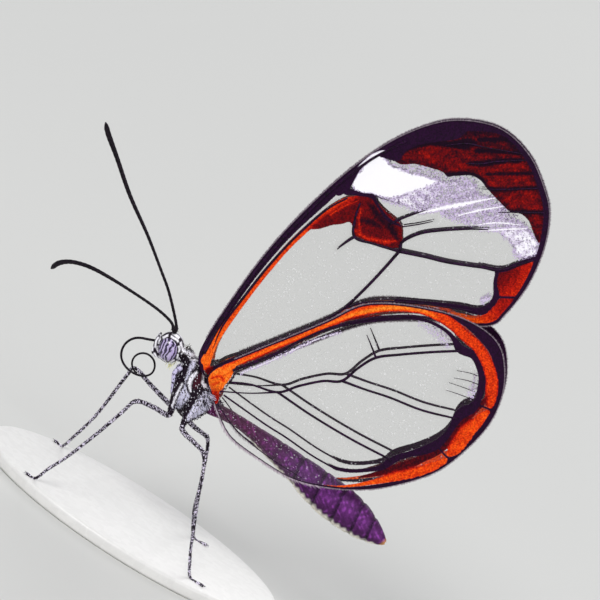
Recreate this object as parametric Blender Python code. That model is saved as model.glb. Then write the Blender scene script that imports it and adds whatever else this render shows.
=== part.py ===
"""Clear-winged butterfly at life size, standing with its wings closed over its back.

Units are metres, +Z up, head towards -X. The animal's left side faces -Y. Every length below is written
in millimetres and turned into metres when a mesh is made.
"""
import bpy
import bmesh
import math
from mathutils import Matrix, Vector
from mathutils.geometry import delaunay_2d_cdt

MM = 0.001

# Overall placing: the middle of the whole animal lies over the origin
CENTRE_X = 9.25
CENTRE_Y = 0.25

# Fits between neighbouring pieces
GAP = 0.3

# Flat oval base, because the tall wings would tip so light an animal over
BASE_C = (8.6, 0.25)
BASE_SEMI = (12.8, 8.6)
BASE_T = 0.8
BASE_BEVEL = 0.2
BASE_AROUND = 48
LIFT = BASE_T + GAP

# Trunk: an egg that leans forward
THORAX_C = Vector((7.0, 0.0, 11.0))
THORAX_SEMI = Vector((1.75, 1.35, 2.55))
THORAX_LEAN = math.radians(20.0)

# Hips: stout cones fused to the trunk, from inside it down to where each walking limb starts (left side)
HIPS = (
    ((5.95, -0.80, 11.20), (6.55, -1.28, 9.25), 0.62, 0.36),
    ((7.75, -0.85, 10.90), (7.80, -1.42, 9.20), 0.66, 0.38),
)
# A collar behind the head and a low hump over the wing roots: middle, size
COLLAR = ((5.55, 0.0, 12.45), (0.45, 0.95, 0.85))
SHOULDER = ((7.45, 0.0, 12.45), (1.25, 0.72, 1.00))

# Head and eyes
HEAD_C = Vector((3.92, 0.0, 12.75))
HEAD_SEMI = Vector((1.08, 0.95, 1.25))
EYE_OUT = 0.85
EYE_SHIFT = (-0.12, -0.08)
EYE_SEMI = Vector((0.70, 0.50, 0.87))
EYE_LEAN = math.radians(32.0)
EYE_CUT = 0.62
PALP = ((3.70, 0.406, 11.75), (3.15, 0.58, 11.80), (2.85, 0.58, 12.50), (2.68, 0.58, 13.25))
PALP_R = (0.27, 0.18)

# Hind body: distance along X, height of the axis, half height, half width
ABDOMEN = (
    (9.15, 10.50, 0.55, 0.62),
    (10.4, 10.66, 0.52, 0.60),
    (11.8, 10.68, 0.52, 0.62),
    (13.3, 10.54, 0.68, 0.72),
    (14.8, 10.33, 0.90, 0.82),
    (16.6, 10.10, 1.10, 0.92),
    (18.6, 9.75, 1.42, 1.00),
    (20.2, 9.52, 1.55, 1.08),
    (21.6, 9.40, 1.54, 1.15),
    (22.9, 9.26, 1.38, 1.08),
    (24.0, 9.10, 1.08, 0.88),
    (24.9, 8.98, 0.68, 0.58),
    (25.6, 8.88, 0.25, 0.22),
)
ABDOMEN_STEP = 0.42
ABDOMEN_AROUND = 20
SEGMENT_RINGS = 5
SEGMENT_PINCH = 0.045
LAST_PINCH = 25.0

# Wings: thickness of the membrane, vein ridges and how far the pair stands apart
WING_T = 0.5
RIDGE_H = 0.15
RIDGE_W = 0.30
FORE_IN = 0.35
ROOT_OUT = 0.95
ROOT_REACH = 2.2
ROOT_X = 6.8
ROOT_Z = 12.8
HIND_STEP = WING_T + RIDGE_H + GAP

# The hindwing draws in towards the body near its root: how much, where and how far round
HIND_DIP = 0.75
HIND_DIP_X = 8.3
HIND_DIP_Z = 11.3
HIND_DIP_REACH = 1.1

# Wing mesh: spacing of its points on the rim, along the veins and over the film, and how far they keep apart
RIM_STEP = 0.95
VEIN_STEP = 1.3
VEIN_CLEAR = 0.28
RIDGE_FADE = 0.25
FILM_COUNT = 22
FILM_STEP_X = 1.7
FILM_STEP_Z = 1.5
FILM_CLEAR = 1.0
ROOT_CLEAR = 0.45
ROOT_FIELD = 4.5
ROOT_FIELD_SHIFT = 0.8

FORE_EDGE = (
    (6.2, 13.5), (5.9, 15.0), (5.9, 17.3), (6.1, 21.4), (6.6, 25.3), (7.6, 29.7), (8.8, 33.3), (10.2, 36.1),
    (12.1, 38.5), (14.3, 39.9), (16.5, 40.4), (19.0, 39.8), (21.2, 38.3), (22.5, 36.9), (23.5, 34.6),
    (24.0, 31.7), (23.8, 28.9), (23.1, 27.3), (19.4, 25.3), (15.6, 22.6), (12.6, 18.7), (10.3, 15.5),
    (9.0, 13.7), (8.2, 12.85), (7.3, 12.6),
)
HIND_EDGE = (
    (7.6, 12.7), (7.7, 13.8), (8.8, 15.4), (10.6, 18.0), (12.8, 21.2), (14.2, 23.5), (15.8, 24.8),
    (18.2, 26.0), (20.9, 26.9), (23.2, 27.1), (24.8, 26.6), (26.0, 25.3), (26.8, 23.7), (27.2, 21.6),
    (26.9, 19.1), (25.9, 16.1), (23.9, 13.5), (21.7, 11.6), (19.1, 10.2), (16.8, 9.5), (13.8, 9.45),
    (11.4, 9.7), (9.7, 10.7), (8.5, 11.6),
)
FORE_VEINS = {
    "costa": ((6.45, 14.0), (6.28, 17.3), (6.5, 21.4), (7.02, 25.2), (8.05, 29.6), (9.3, 33.1), (10.8, 35.8)),
    "radius": ((7.1, 14.2), (7.0, 17.2), (7.35, 21.9), (7.95, 25.7), (8.9, 28.9), (10.0, 31.6), (11.7, 34.6)),
    "cubitus": ((7.6, 13.4), (10.0, 16.4), (12.0, 20.1), (13.4, 22.8), (14.2, 26.3), (14.6, 28.5)),
    "cell_end": ((9.6, 30.3), (10.1, 29.4), (11.3, 27.6), (14.6, 28.5)),
    "cubital_branch": ((14.6, 28.5), (16.4, 29.2), (18.1, 29.8), (20.3, 30.8), (23.4, 31.6)),
    "median_low": ((14.6, 28.5), (14.1, 29.4), (15.1, 30.4), (17.5, 32.4), (20.5, 34.3), (23.0, 35.3)),
    "median_high": ((10.1, 29.6), (12.8, 30.6), (14.4, 32.0), (17.6, 35.1), (21.2, 37.9)),
    "radial_branch": ((10.1, 31.7), (11.7, 33.4), (13.6, 35.7), (15.9, 37.6), (18.8, 39.3)),
    "hind_branch": ((13.4, 22.8), (17.1, 24.7), (20.1, 26.9), (22.9, 28.4)),
}
HIND_VEINS = {
    "cell_top": ((8.7, 13.7), (9.6, 14.9), (11.2, 17.0), (13.4, 20.3), (15.3, 22.6), (17.6, 24.5), (20.2, 25.8),
                 (23.0, 26.2)),
    "cubitus": ((9.0, 12.7), (10.8, 13.6), (12.6, 14.7), (15.0, 17.2), (16.2, 18.0), (17.4, 21.0), (20.0, 23.0),
                (22.4, 24.8), (24.6, 25.9)),
    "median": ((16.2, 18.0), (19.9, 18.9), (22.4, 19.5), (26.2, 20.7)),
    "cubital_branch": ((12.6, 14.7), (15.7, 14.5), (19.2, 14.6), (23.6, 15.0)),
    "anal": ((9.3, 12.3), (12.9, 12.0), (17.3, 11.9), (20.6, 12.0)),
    "stub": ((17.4, 21.0), (16.1, 22.0), (15.3, 22.6)),
}

# Limbs, feelers and tongue: middle lines, left side and right side apart because the pose is not symmetrical
LIMB_R = 0.25
THIGH_R = 0.34
THIGH_AT = 0.14
THIGH_REACH = 0.24
KNEE_R = 0.05
KNEE_AT = 0.30
KNEE_REACH = 0.03
LIMB_STEP = 0.55
FOOT_Z = 0.22
MIDLEG_LEFT = (
    (6.62, -1.42, 8.62), (6.25, -1.90, 8.62), (5.35, -2.70, 8.80), (4.02, -4.00, 8.80), (3.60, -4.25, 7.60),
    (2.90, -4.60, 5.35), (2.00, -5.00, 2.80), (1.35, -5.20, 1.40), (0.75, -5.40, FOOT_Z),
    (0.00, -5.50, FOOT_Z),
)
MIDLEG_RIGHT = (
    (6.62, 1.42, 8.62), (6.10, 1.85, 8.50), (4.20, 2.80, 8.70), (2.45, 4.00, 8.85), (2.20, 4.30, 7.90),
    (1.96, 5.00, 5.15), (1.75, 5.35, 3.40), (1.30, 5.70, 1.50), (0.85, 5.90, FOOT_Z), (0.10, 6.05, FOOT_Z),
)
HINDLEG_LEFT = (
    (7.86, -1.60, 8.62), (8.20, -1.95, 8.25), (9.50, -2.95, 8.22), (10.45, -3.80, 8.10),
    (11.14, -4.20, 6.93), (11.91, -4.70, 5.05), (12.82, -5.00, 3.10), (13.60, -5.25, 1.40),
    (14.50, -5.40, FOOT_Z), (15.70, -5.55, FOOT_Z),
)
HINDLEG_RIGHT = (
    (7.86, 1.60, 8.62), (8.25, 1.90, 8.10), (9.15, 2.65, 7.75), (9.90, 3.50, 7.45), (10.25, 3.70, 6.98),
    (10.60, 3.80, 6.20), (11.46, 4.00, 3.85), (12.20, 4.10, 1.60), (13.20, 4.15, FOOT_Z),
    (14.40, 4.15, FOOT_Z),
)
FORELEG_R = (0.25, 0.21)
FORELEG_STEP = 0.35
FORELEG = ((5.35, 0.80, 12.25), (5.00, 0.95, 11.35), (5.15, 1.00, 10.30), (5.60, 0.95, 9.40))
FEELER_R = 0.25
FEELER_STEP = 0.75
CLUB_R = 0.05
CLUB_AT = 0.93
CLUB_REACH = 0.09
CLUB_END = 0.95
CLUB_TAPER = 0.45
ANTENNA_LEFT = (
    (3.45, -0.40, 14.55), (1.71, -0.91, 16.48), (0.24, -1.43, 17.79), (-1.90, -1.94, 19.56),
    (-4.54, -2.46, 21.50), (-6.80, -2.97, 23.49), (-8.23, -3.49, 24.76), (-8.84, -4.00, 25.52),
)
ANTENNA_RIGHT = (
    (3.00, 0.45, 14.30), (1.98, 0.91, 14.42), (0.69, 1.42, 14.40), (-0.97, 1.93, 14.31),
    (-2.53, 2.44, 14.18), (-4.07, 2.96, 13.97), (-5.16, 3.47, 13.65), (-6.13, 3.98, 13.15),
    (-6.81, 4.49, 12.46), (-7.11, 5.00, 11.66),
)

# Tongue: where it starts, then X, Z and radius of its wide and its small turn, the degrees at which it begins,
# leaves the wide turn, reaches the small one and ends, and how far it drifts sideways
COIL_START = (2.42, 0.0, 12.42)
COIL_BIG = (2.35, 10.85, 1.42)
COIL_SMALL = (2.93, 10.28, 0.90)
COIL_BEGIN = 100
COIL_LEAVE = 220
COIL_REACH = 370
COIL_END = 630
COIL_DRIFT = 0.95
TONGUE_R = (0.25, 0.20)
TONGUE_STEP = 0.33

COLOURS = {
    "scales": (0.06, 0.03, 0.06, 0.55),
    "body": (0.22, 0.05, 0.22, 0.45),
    "fur": (0.72, 0.70, 0.82, 0.80),
    "eye": (0.38, 0.34, 0.45, 0.20),
    "chitin": (0.03, 0.02, 0.03, 0.40),
    "glass": (0.62, 0.60, 0.60, 0.25),
    "stand": (0.80, 0.79, 0.77, 0.50),
}


def material(kind):
    found = bpy.data.materials.get(kind)
    if found:
        return found
    made = bpy.data.materials.new(kind)
    made.use_nodes = True
    shader = made.node_tree.nodes["Principled BSDF"]
    red, green, blue, rough = COLOURS[kind]
    shader.inputs["Base Color"].default_value = (red, green, blue, 1.0)
    shader.inputs["Roughness"].default_value = rough
    shader.inputs["Metallic"].default_value = 0.0
    return made


def finish(bm, name, kind, smooth=True):
    """Turns a bmesh in millimetres into a named object in metres, with its origin at its own middle."""
    bmesh.ops.recalc_face_normals(bm, faces=bm.faces)
    middle = sum((v.co for v in bm.verts), Vector()) / len(bm.verts)
    bmesh.ops.translate(bm, vec=-middle, verts=bm.verts)
    bmesh.ops.scale(bm, vec=(MM, MM, MM), verts=bm.verts)
    bmesh.ops.triangulate(bm, faces=[f for f in bm.faces if len(f.verts) > 4])
    mesh = bpy.data.meshes.new(name)
    bm.to_mesh(mesh)
    bm.free()
    if smooth:
        mesh.shade_smooth()
    mesh.materials.append(material(kind))
    obj = bpy.data.objects.new(name, mesh)
    obj.location = middle * MM
    bpy.context.scene.collection.objects.link(obj)
    return obj


def curve_through(points, step):
    """Evenly spaced points of a smooth curve that passes through every given point."""
    pts = [Vector(p) for p in points]
    pts = [pts[0] * 2 - pts[1]] + pts + [pts[-1] * 2 - pts[-2]]
    fine = []
    for a, b, c, d in zip(pts, pts[1:], pts[2:], pts[3:]):
        for k in range(16):
            t = k / 16
            fine.append(0.5 * (2 * b + (c - a) * t + (2 * a - 5 * b + 4 * c - d) * t * t
                               + (3 * b - a - 3 * c + d) * t ** 3))
    fine.append(pts[-2])
    return even(fine, step)


def loop_through(points, step):
    """The same, round a closed outline."""
    pts = [Vector(p) for p in points]
    count = len(pts)
    fine = []
    for i in range(count):
        a, b, c, d = pts[i - 1], pts[i], pts[(i + 1) % count], pts[(i + 2) % count]
        for k in range(16):
            t = k / 16
            fine.append(0.5 * (2 * b + (c - a) * t + (2 * a - 5 * b + 4 * c - d) * t * t
                               + (3 * b - a - 3 * c + d) * t ** 3))
    fine.append(fine[0].copy())
    return even(fine, step)[:-1]


def even(fine, step):
    lengths = [0.0]
    for a, b in zip(fine, fine[1:]):
        lengths.append(lengths[-1] + (b - a).length)
    parts = max(2, round(lengths[-1] / step))
    made = []
    j = 0
    for i in range(parts + 1):
        want = lengths[-1] * i / parts
        while j < len(fine) - 2 and lengths[j + 1] < want:
            j += 1
        span = max(1e-9, lengths[j + 1] - lengths[j])
        made.append(fine[j].lerp(fine[j + 1], (want - lengths[j]) / span))
    return made


def join_rings(bm, rings):
    """Skins a row of rings with the same count of points and closes both ends."""
    for low, high in zip(rings, rings[1:]):
        for k in range(len(low)):
            after = (k + 1) % len(low)
            bm.faces.new((low[k], low[after], high[after], high[k]))
    bm.faces.new(rings[0])
    bm.faces.new(rings[-1])


def taper(ends):
    """A radius that changes evenly from the first of two values to the second."""
    return lambda t: ends[0] + (ends[1] - ends[0]) * t


def tube(bm, line, radius, sides=8, flat_below=None):
    """A closed round bar along a line; radius is a function of the share of its length."""
    count = len(line)
    first = (line[1] - line[0]).normalized()
    side = first.orthogonal().normalized()
    rings = []
    before = first
    for i, point in enumerate(line):
        along = (line[min(i + 1, count - 1)] - line[max(i - 1, 0)]).normalized()
        side = before.rotation_difference(along) @ side
        side = (side - along * side.dot(along)).normalized()
        across = along.cross(side)
        before = along
        r = radius(i / (count - 1))
        ring = []
        for k in range(sides):
            angle = 2 * math.pi * k / sides
            co = point + (side * math.cos(angle) + across * math.sin(angle)) * r
            if flat_below is not None and co.z < flat_below:
                co.z = flat_below
            ring.append(bm.verts.new(co))
        rings.append(ring)
    join_rings(bm, rings)


def ellipsoid(bm, centre, semi, lean, across=20, around=12, cut_side=None):
    """An ellipsoid with its long axis leaning forward; cut_side flattens it at a distance from the middle."""
    turn = Matrix.Rotation(-lean, 4, "Y")
    made = bmesh.ops.create_uvsphere(bm, u_segments=across, v_segments=around, radius=1.0,
                                     matrix=Matrix.Rotation(math.pi / 2, 4, "X"))
    for vert in made["verts"]:
        co = Vector((vert.co.x * semi.x, vert.co.y * semi.y, vert.co.z * semi.z))
        vert.co = centre + turn @ co
        if cut_side is not None:
            sign = 1 if centre.y > 0 else -1
            if vert.co.y * sign < cut_side:
                vert.co.y = cut_side * sign


def fore_inner(x, z):
    reach = ((x - ROOT_X) ** 2 + (z - ROOT_Z) ** 2) / ROOT_REACH ** 2
    return FORE_IN + ROOT_OUT * math.exp(-reach)


def hind_inner(x, z):
    dip = HIND_DIP * math.exp(-((x - HIND_DIP_X) ** 2 + (z - HIND_DIP_Z) ** 2) / HIND_DIP_REACH ** 2)
    return fore_inner(x, z) + HIND_STEP - dip


def away(point, line):
    """Distance from a point to a chain of points, in the plane of the wing."""
    best = 1e9
    for a, b in zip(line, line[1:]):
        run = b - a
        t = max(0.0, min(1.0, (point - a).dot(run) / max(1e-9, run.dot(run))))
        best = min(best, (point - a - run * t).length)
    return best


def wing(name, edge, veins, inner, side):
    """A thin even sheet cut to the outline of one wing, with low ridges on its outer face for the veins."""
    outline = loop_through(edge, RIM_STEP)
    lines = [curve_through(points, VEIN_STEP) for points in veins.values()]
    coords = list(outline)
    edges = []
    for line in lines:
        for shift in (-RIDGE_W, 0.0, RIDGE_W):
            start = len(coords)
            kept = 0
            for i, point in enumerate(line):
                run = line[min(i + 1, len(line) - 1)] - line[max(i - 1, 0)]
                normal = Vector((-run.y, run.x)).normalized()
                spot = point + normal * shift
                if away(spot, outline + [outline[0]]) < VEIN_CLEAR:
                    continue
                coords.append(spot)
                kept += 1
            edges += [(start + k, start + k + 1) for k in range(kept - 1)]
    low_x = min(p.x for p in outline)
    low_z = min(p.y for p in outline)
    for i in range(FILM_COUNT):
        for j in range(FILM_COUNT):
            spot = Vector((low_x + (i + 0.5 * (j % 2)) * FILM_STEP_X, low_z + j * FILM_STEP_Z))
            near_root = (spot - Vector((ROOT_X + ROOT_FIELD_SHIFT, ROOT_Z))).length < ROOT_FIELD
            clear = ROOT_CLEAR if near_root else FILM_CLEAR
            if not inside(spot, outline) or away(spot, outline + [outline[0]]) < clear:
                continue
            if min(away(spot, line) for line in lines) < RIDGE_W + clear * 0.6:
                continue
            coords.append(spot)
    face = [tuple(range(len(outline)))]
    flat, _, tris, _, _, _ = delaunay_2d_cdt(coords, edges, face, 1, 1e-4)
    bm = bmesh.new()
    inside_verts = []
    outside_verts = []
    for spot in flat:
        base = inner(spot.x, spot.y)
        ridge = RIDGE_H * max(0.0, 1.0 - min(away(spot, line) for line in lines) / RIDGE_W)
        rim = away(spot, outline + [outline[0]])
        ridge *= min(1.0, rim / RIDGE_FADE)
        inside_verts.append(bm.verts.new((spot.x, side * base, spot.y)))
        outside_verts.append(bm.verts.new((spot.x, side * (base + WING_T + ridge), spot.y)))
    used = {}
    for tri in tris:
        a, b, c = tri
        bm.faces.new((inside_verts[a], inside_verts[b], inside_verts[c]))
        bm.faces.new((outside_verts[c], outside_verts[b], outside_verts[a]))
        for pair in ((a, b), (b, c), (c, a)):
            used[pair] = used.get(pair, 0) + 1
    for a, b in used:
        if (b, a) not in used:
            bm.faces.new((inside_verts[b], inside_verts[a], outside_verts[a], outside_verts[b]))
    loose = [v for v in bm.verts if not v.link_faces]
    bmesh.ops.delete(bm, geom=loose, context="VERTS")
    return finish(bm, name, "glass")


def inside(point, loop):
    hit = False
    for a, b in zip(loop, loop[1:] + loop[:1]):
        if (a.y > point.y) != (b.y > point.y):
            cross = a.x + (point.y - a.y) / (b.y - a.y) * (b.x - a.x)
            if point.x < cross:
                hit = not hit
    return hit


def clear_of_trunk(point, reach):
    """Moves a point of a limb's middle line out of the trunk, by its own radius and the gap."""
    turn = Matrix.Rotation(-THORAX_LEAN, 4, "Y")
    local = turn.inverted() @ (Vector(point) - THORAX_C)
    grown = THORAX_SEMI + Vector((reach, reach, reach))
    size = math.sqrt(sum((local[i] / grown[i]) ** 2 for i in range(3)))
    if size < 1.0:
        local = local / size
    return THORAX_C + turn @ local


def fuse(whole, tools):
    """Joins or cuts closed shapes with the first one, in the order given."""
    bpy.context.view_layer.update()
    for tool, kind in tools:
        step = whole.modifiers.new(kind.lower(), "BOOLEAN")
        step.object = tool
        step.operation = kind
        step.solver = "EXACT"
        tool.hide_render = True
        tool.display_type = "WIRE"
    return [whole] + [tool for tool, _ in tools]


def make_thorax():
    """The trunk with its collar, the hump between the wings and two pairs of hips."""
    bm = bmesh.new()
    ellipsoid(bm, THORAX_C, THORAX_SEMI, THORAX_LEAN, 24, 16)
    trunk = finish(bm, "thorax", "fur")
    tools = []
    for centre, semi in (COLLAR, SHOULDER):
        bm = bmesh.new()
        ellipsoid(bm, Vector(centre), Vector(semi), THORAX_LEAN, 16, 10)
        tools.append((finish(bm, "trunk_swell", "fur"), "UNION"))
    for top, bottom, top_r, bottom_r in HIPS:
        for side in (-1, 1):
            ends = [Vector((x, -side * y, z)) for x, y, z in (top, bottom)]
            line = [ends[0].lerp(ends[1], k / 5) for k in range(6)]
            bm = bmesh.new()
            tube(bm, line, taper((top_r, bottom_r)), 10)
            tools.append((finish(bm, "hip", "fur"), "UNION"))
    return fuse(trunk, tools)


def make_head():
    bm = bmesh.new()
    ellipsoid(bm, HEAD_C, HEAD_SEMI, EYE_LEAN * 0.5, 24, 16)
    head = finish(bm, "head", "fur")
    tools = []
    for side in (-1, 1):
        bm = bmesh.new()
        grown = EYE_SEMI + Vector((GAP, GAP, GAP))
        spot = HEAD_C + Vector((EYE_SHIFT[0], side * EYE_OUT, EYE_SHIFT[1]))
        ellipsoid(bm, spot, grown, EYE_LEAN, 24, 16, EYE_CUT - GAP)
        tools.append((finish(bm, "socket", "fur"), "DIFFERENCE"))
        bm = bmesh.new()
        line = curve_through([(x, side * y, z) for x, y, z in PALP], 0.3)
        tube(bm, line, taper(PALP_R))
        tools.append((finish(bm, "palp", "fur"), "UNION"))
    return fuse(head, tools)


def make_eye(name, side):
    bm = bmesh.new()
    spot = HEAD_C + Vector((EYE_SHIFT[0], side * EYE_OUT, EYE_SHIFT[1]))
    ellipsoid(bm, spot, EYE_SEMI, EYE_LEAN, 20, 12, EYE_CUT)
    bmesh.ops.remove_doubles(bm, verts=bm.verts, dist=1e-5)
    return finish(bm, name, "eye")


def make_abdomen():
    """Rings along the body, pinched where one segment slides into the next."""
    line = curve_through([(x, z, h) for x, z, h, _ in ABDOMEN], ABDOMEN_STEP)
    widths = curve_through([(x, w, 0.0) for x, _, _, w in ABDOMEN], ABDOMEN_STEP)
    bm = bmesh.new()
    rings = []
    for i, (x, z, half) in enumerate(line):
        wide = min(widths, key=lambda p: abs(p.x - x)).y
        pinched = i % SEGMENT_RINGS == SEGMENT_RINGS - 1 and x < LAST_PINCH
        pinch = 1.0 - SEGMENT_PINCH if pinched else 1.0
        ring = []
        for k in range(ABDOMEN_AROUND):
            angle = 2 * math.pi * k / ABDOMEN_AROUND
            co = (x, math.sin(angle) * wide * pinch, z + math.cos(angle) * half * pinch)
            ring.append(bm.verts.new(co))
        rings.append(ring)
    join_rings(bm, rings)
    return finish(bm, "abdomen", "body")


def make_limb(name, points):
    """One walking limb: stout thigh, thin shin with a thicker knee, a foot that lies flat on the ground."""
    line = curve_through(points, LIMB_STEP)
    line = [clear_of_trunk(p, THIGH_R + GAP) for p in line]

    def girth(t):
        thigh = max(0.0, 1.0 - abs(t - THIGH_AT) / THIGH_REACH)
        knee = math.exp(-((t - KNEE_AT) / KNEE_REACH) ** 2)
        return LIMB_R + (THIGH_R - LIMB_R) * thigh + KNEE_R * knee
    bm = bmesh.new()
    tube(bm, line, girth, 8, 0.0)
    return finish(bm, name, "chitin")


def make_foreleg(name, side):
    """One folded fore limb, held against the breast."""
    line = curve_through([(x, side * y, z) for x, y, z in FORELEG], FORELEG_STEP)
    line = [clear_of_trunk(p, FORELEG_R[0] + GAP) for p in line]
    bm = bmesh.new()
    tube(bm, line, taper(FORELEG_R))
    return finish(bm, name, "fur")


def make_antenna(name, points):
    """A thin rod that swells into a slim club near its tip."""
    line = curve_through(points, FEELER_STEP)

    def girth(t):
        club = math.exp(-((t - CLUB_AT) / CLUB_REACH) ** 2)
        tip = 1.0 - max(0.0, (t - CLUB_END) / (1.0 - CLUB_END)) * CLUB_TAPER
        return (FEELER_R + CLUB_R * club) * tip
    bm = bmesh.new()
    tube(bm, line, girth)
    return finish(bm, name, "chitin")


def make_tongue():
    """Hangs in one wide turn and runs on without a bend into a smaller one beside it."""
    points = [COIL_START]
    for degrees in range(COIL_BEGIN, COIL_END + 1, 15):
        angle = math.radians(degrees)
        part = min(1.0, max(0.0, (degrees - COIL_LEAVE) / (COIL_REACH - COIL_LEAVE)))
        part = part * part * (3.0 - 2.0 * part)
        x, z, radius = (big + part * (small - big) for big, small in zip(COIL_BIG, COIL_SMALL))
        drift = COIL_DRIFT * (degrees - COIL_BEGIN) / (COIL_END - COIL_BEGIN)
        points.append((x + radius * math.cos(angle), drift, z + radius * math.sin(angle)))
    line = curve_through(points, TONGUE_STEP)
    bm = bmesh.new()
    tube(bm, line, taper(TONGUE_R))
    return finish(bm, "proboscis", "chitin")


def make_base():
    """An oval plate with a small bevel round both rims, lying on the ground under the feet."""
    bm = bmesh.new()
    rings = []
    profile = ((BASE_BEVEL, 0.0), (0.0, BASE_BEVEL), (0.0, BASE_T - BASE_BEVEL), (BASE_BEVEL, BASE_T))
    for shrink, height in profile:
        ring = []
        for k in range(BASE_AROUND):
            angle = 2 * math.pi * k / BASE_AROUND
            ring.append(bm.verts.new((BASE_C[0] + (BASE_SEMI[0] - shrink) * math.cos(angle),
                                      BASE_C[1] + (BASE_SEMI[1] - shrink) * math.sin(angle), height - LIFT)))
        rings.append(ring)
    join_rings(bm, rings)
    return finish(bm, "stand_base", "stand", False)


def build():
    for old in list(bpy.data.objects):
        bpy.data.objects.remove(old, do_unlink=True)
    whole = bpy.data.objects.new("butterfly", None)
    whole.location = (-CENTRE_X * MM, -CENTRE_Y * MM, LIFT * MM)
    bpy.context.scene.collection.objects.link(whole)
    pieces = make_thorax() + make_head() + [make_abdomen(), make_tongue()]
    pieces += [make_eye("eye_left", -1), make_eye("eye_right", 1)]
    pieces += [make_antenna("antenna_left", ANTENNA_LEFT), make_antenna("antenna_right", ANTENNA_RIGHT)]
    pieces += [make_foreleg("foreleg_left", -1), make_foreleg("foreleg_right", 1)]
    pieces += [make_limb("midleg_left", MIDLEG_LEFT), make_limb("midleg_right", MIDLEG_RIGHT)]
    pieces += [make_limb("hindleg_left", HINDLEG_LEFT), make_limb("hindleg_right", HINDLEG_RIGHT)]
    pieces += [wing("forewing_left", FORE_EDGE, FORE_VEINS, fore_inner, -1)]
    pieces += [wing("forewing_right", FORE_EDGE, FORE_VEINS, fore_inner, 1)]
    pieces += [wing("hindwing_left", HIND_EDGE, HIND_VEINS, hind_inner, -1)]
    pieces += [wing("hindwing_right", HIND_EDGE, HIND_VEINS, hind_inner, 1)]
    pieces += [make_base()]
    for piece in pieces:
        piece.parent = whole


build()
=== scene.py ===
"""Looks of a clear-winged butterfly that stands with closed wings on a thin oval base.

Sizes are millimetres in the animal's own frame: X runs from head to tail, Y away from its left side, Z up
from the soles of its feet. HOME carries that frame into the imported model's frame.
"""
import math
import bpy
import numpy as np
from mathutils import Matrix, Vector
from mathutils.geometry import delaunay_2d_cdt


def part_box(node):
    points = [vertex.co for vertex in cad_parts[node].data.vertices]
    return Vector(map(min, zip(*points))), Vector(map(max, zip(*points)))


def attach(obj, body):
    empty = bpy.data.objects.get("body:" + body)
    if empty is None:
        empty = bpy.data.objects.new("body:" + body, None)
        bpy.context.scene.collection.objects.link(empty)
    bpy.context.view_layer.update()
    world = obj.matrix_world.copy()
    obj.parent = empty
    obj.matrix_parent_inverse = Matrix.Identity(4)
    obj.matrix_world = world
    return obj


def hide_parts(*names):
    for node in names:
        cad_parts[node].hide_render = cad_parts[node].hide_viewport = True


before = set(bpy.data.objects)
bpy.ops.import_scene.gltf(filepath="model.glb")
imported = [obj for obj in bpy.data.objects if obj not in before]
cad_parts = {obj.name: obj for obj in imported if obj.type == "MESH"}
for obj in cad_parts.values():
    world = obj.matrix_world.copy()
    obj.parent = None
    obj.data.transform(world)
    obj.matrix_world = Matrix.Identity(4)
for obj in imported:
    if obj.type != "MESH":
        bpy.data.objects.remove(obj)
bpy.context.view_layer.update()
chance = np.random.default_rng(11)

MM = 0.001

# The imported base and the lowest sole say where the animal's own frame lies
BASE_C = (8.6, 0.25)
base_low, base_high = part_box("stand_base")
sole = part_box("midleg_left")[0].z
HOME = np.array([(base_low.x + base_high.x) / 2 - BASE_C[0] * MM,
                 (base_low.y + base_high.y) / 2 - BASE_C[1] * MM, sole])
SIDES = (("left", -1), ("right", 1))

# Photograph: its frame is this wide at the animal, and the camera looked down a little and leaned over
FRAME_WIDTH = 45.0
CAMERA_REACH = 300.0
CAMERA_DOWN = math.radians(12.5)
CAMERA_LEAN = math.radians(32.5)
CAMERA_AIM = (10.3, 0.0, 21.2)

# Studio: each light's name, its place from the middle of the view in metres, its size and its power
LIGHTS = (("key", (-0.22, -0.50, 0.58), 0.35, 4.0), ("fill", (0.58, -0.45, 0.30), 0.50, 1.4),
          ("back", (0.15, 0.56, 0.46), 0.40, 1.9))
FLOOR_HALF = 3.0
FLOOR_GREY = (0.62, 0.62, 0.60, 1.0)
SKY_COLOUR = (0.93, 0.95, 1.0, 1.0)
SKY_STRENGTH = 0.45

# Wings: how the pairs stand apart at the root and beyond, and the depth of the membrane between the veins
FORE_IN = 0.35
ROOT_OUT = 0.95
ROOT_REACH = 2.2
ROOT = (6.8, 12.8)
FORE_SHEET = 0.12
HIND_SHEET = 1.02
HIND_DIP = 0.75
HIND_DIP_AT = (8.3, 11.3)
HIND_DIP_REACH = 1.1
PLEAT = 0.07
PLEAT_REACH = 0.55

# How much the clear film hides, away from a vein and more of it beside one
FILM = 0.075
FILM_AT_VEIN = 0.08
FILM_REACH = 0.25

# Spacing of points on the wings: grid, outline, veins, marks and fringe, and how far they keep apart
GRID = 0.15
ROW_SHARE = 0.866
EDGE_STEP = 0.13
MIDDLE_STEP = 0.15
VEIN_STEP = 0.22
STROKE_STEP = 0.12
AREA_STEP = 0.15
FRINGE_STEP = 0.05
RIM_CLEAR = 0.08
LINE_CLEAR = 0.07
END_CLEAR = 0.06

# Fringe: its tint, where it is long, where the wing root has none, and the width that its unwrap takes in
FRINGE_TINT = np.array([0.60, 0.48, 0.58])
INNER_TOP = 12.2
INNER_SPAN = (9.0, 19.0)
BARE_ROOT = (8.9, 15.0)
UNWRAP_WIDTH = 45.0

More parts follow.
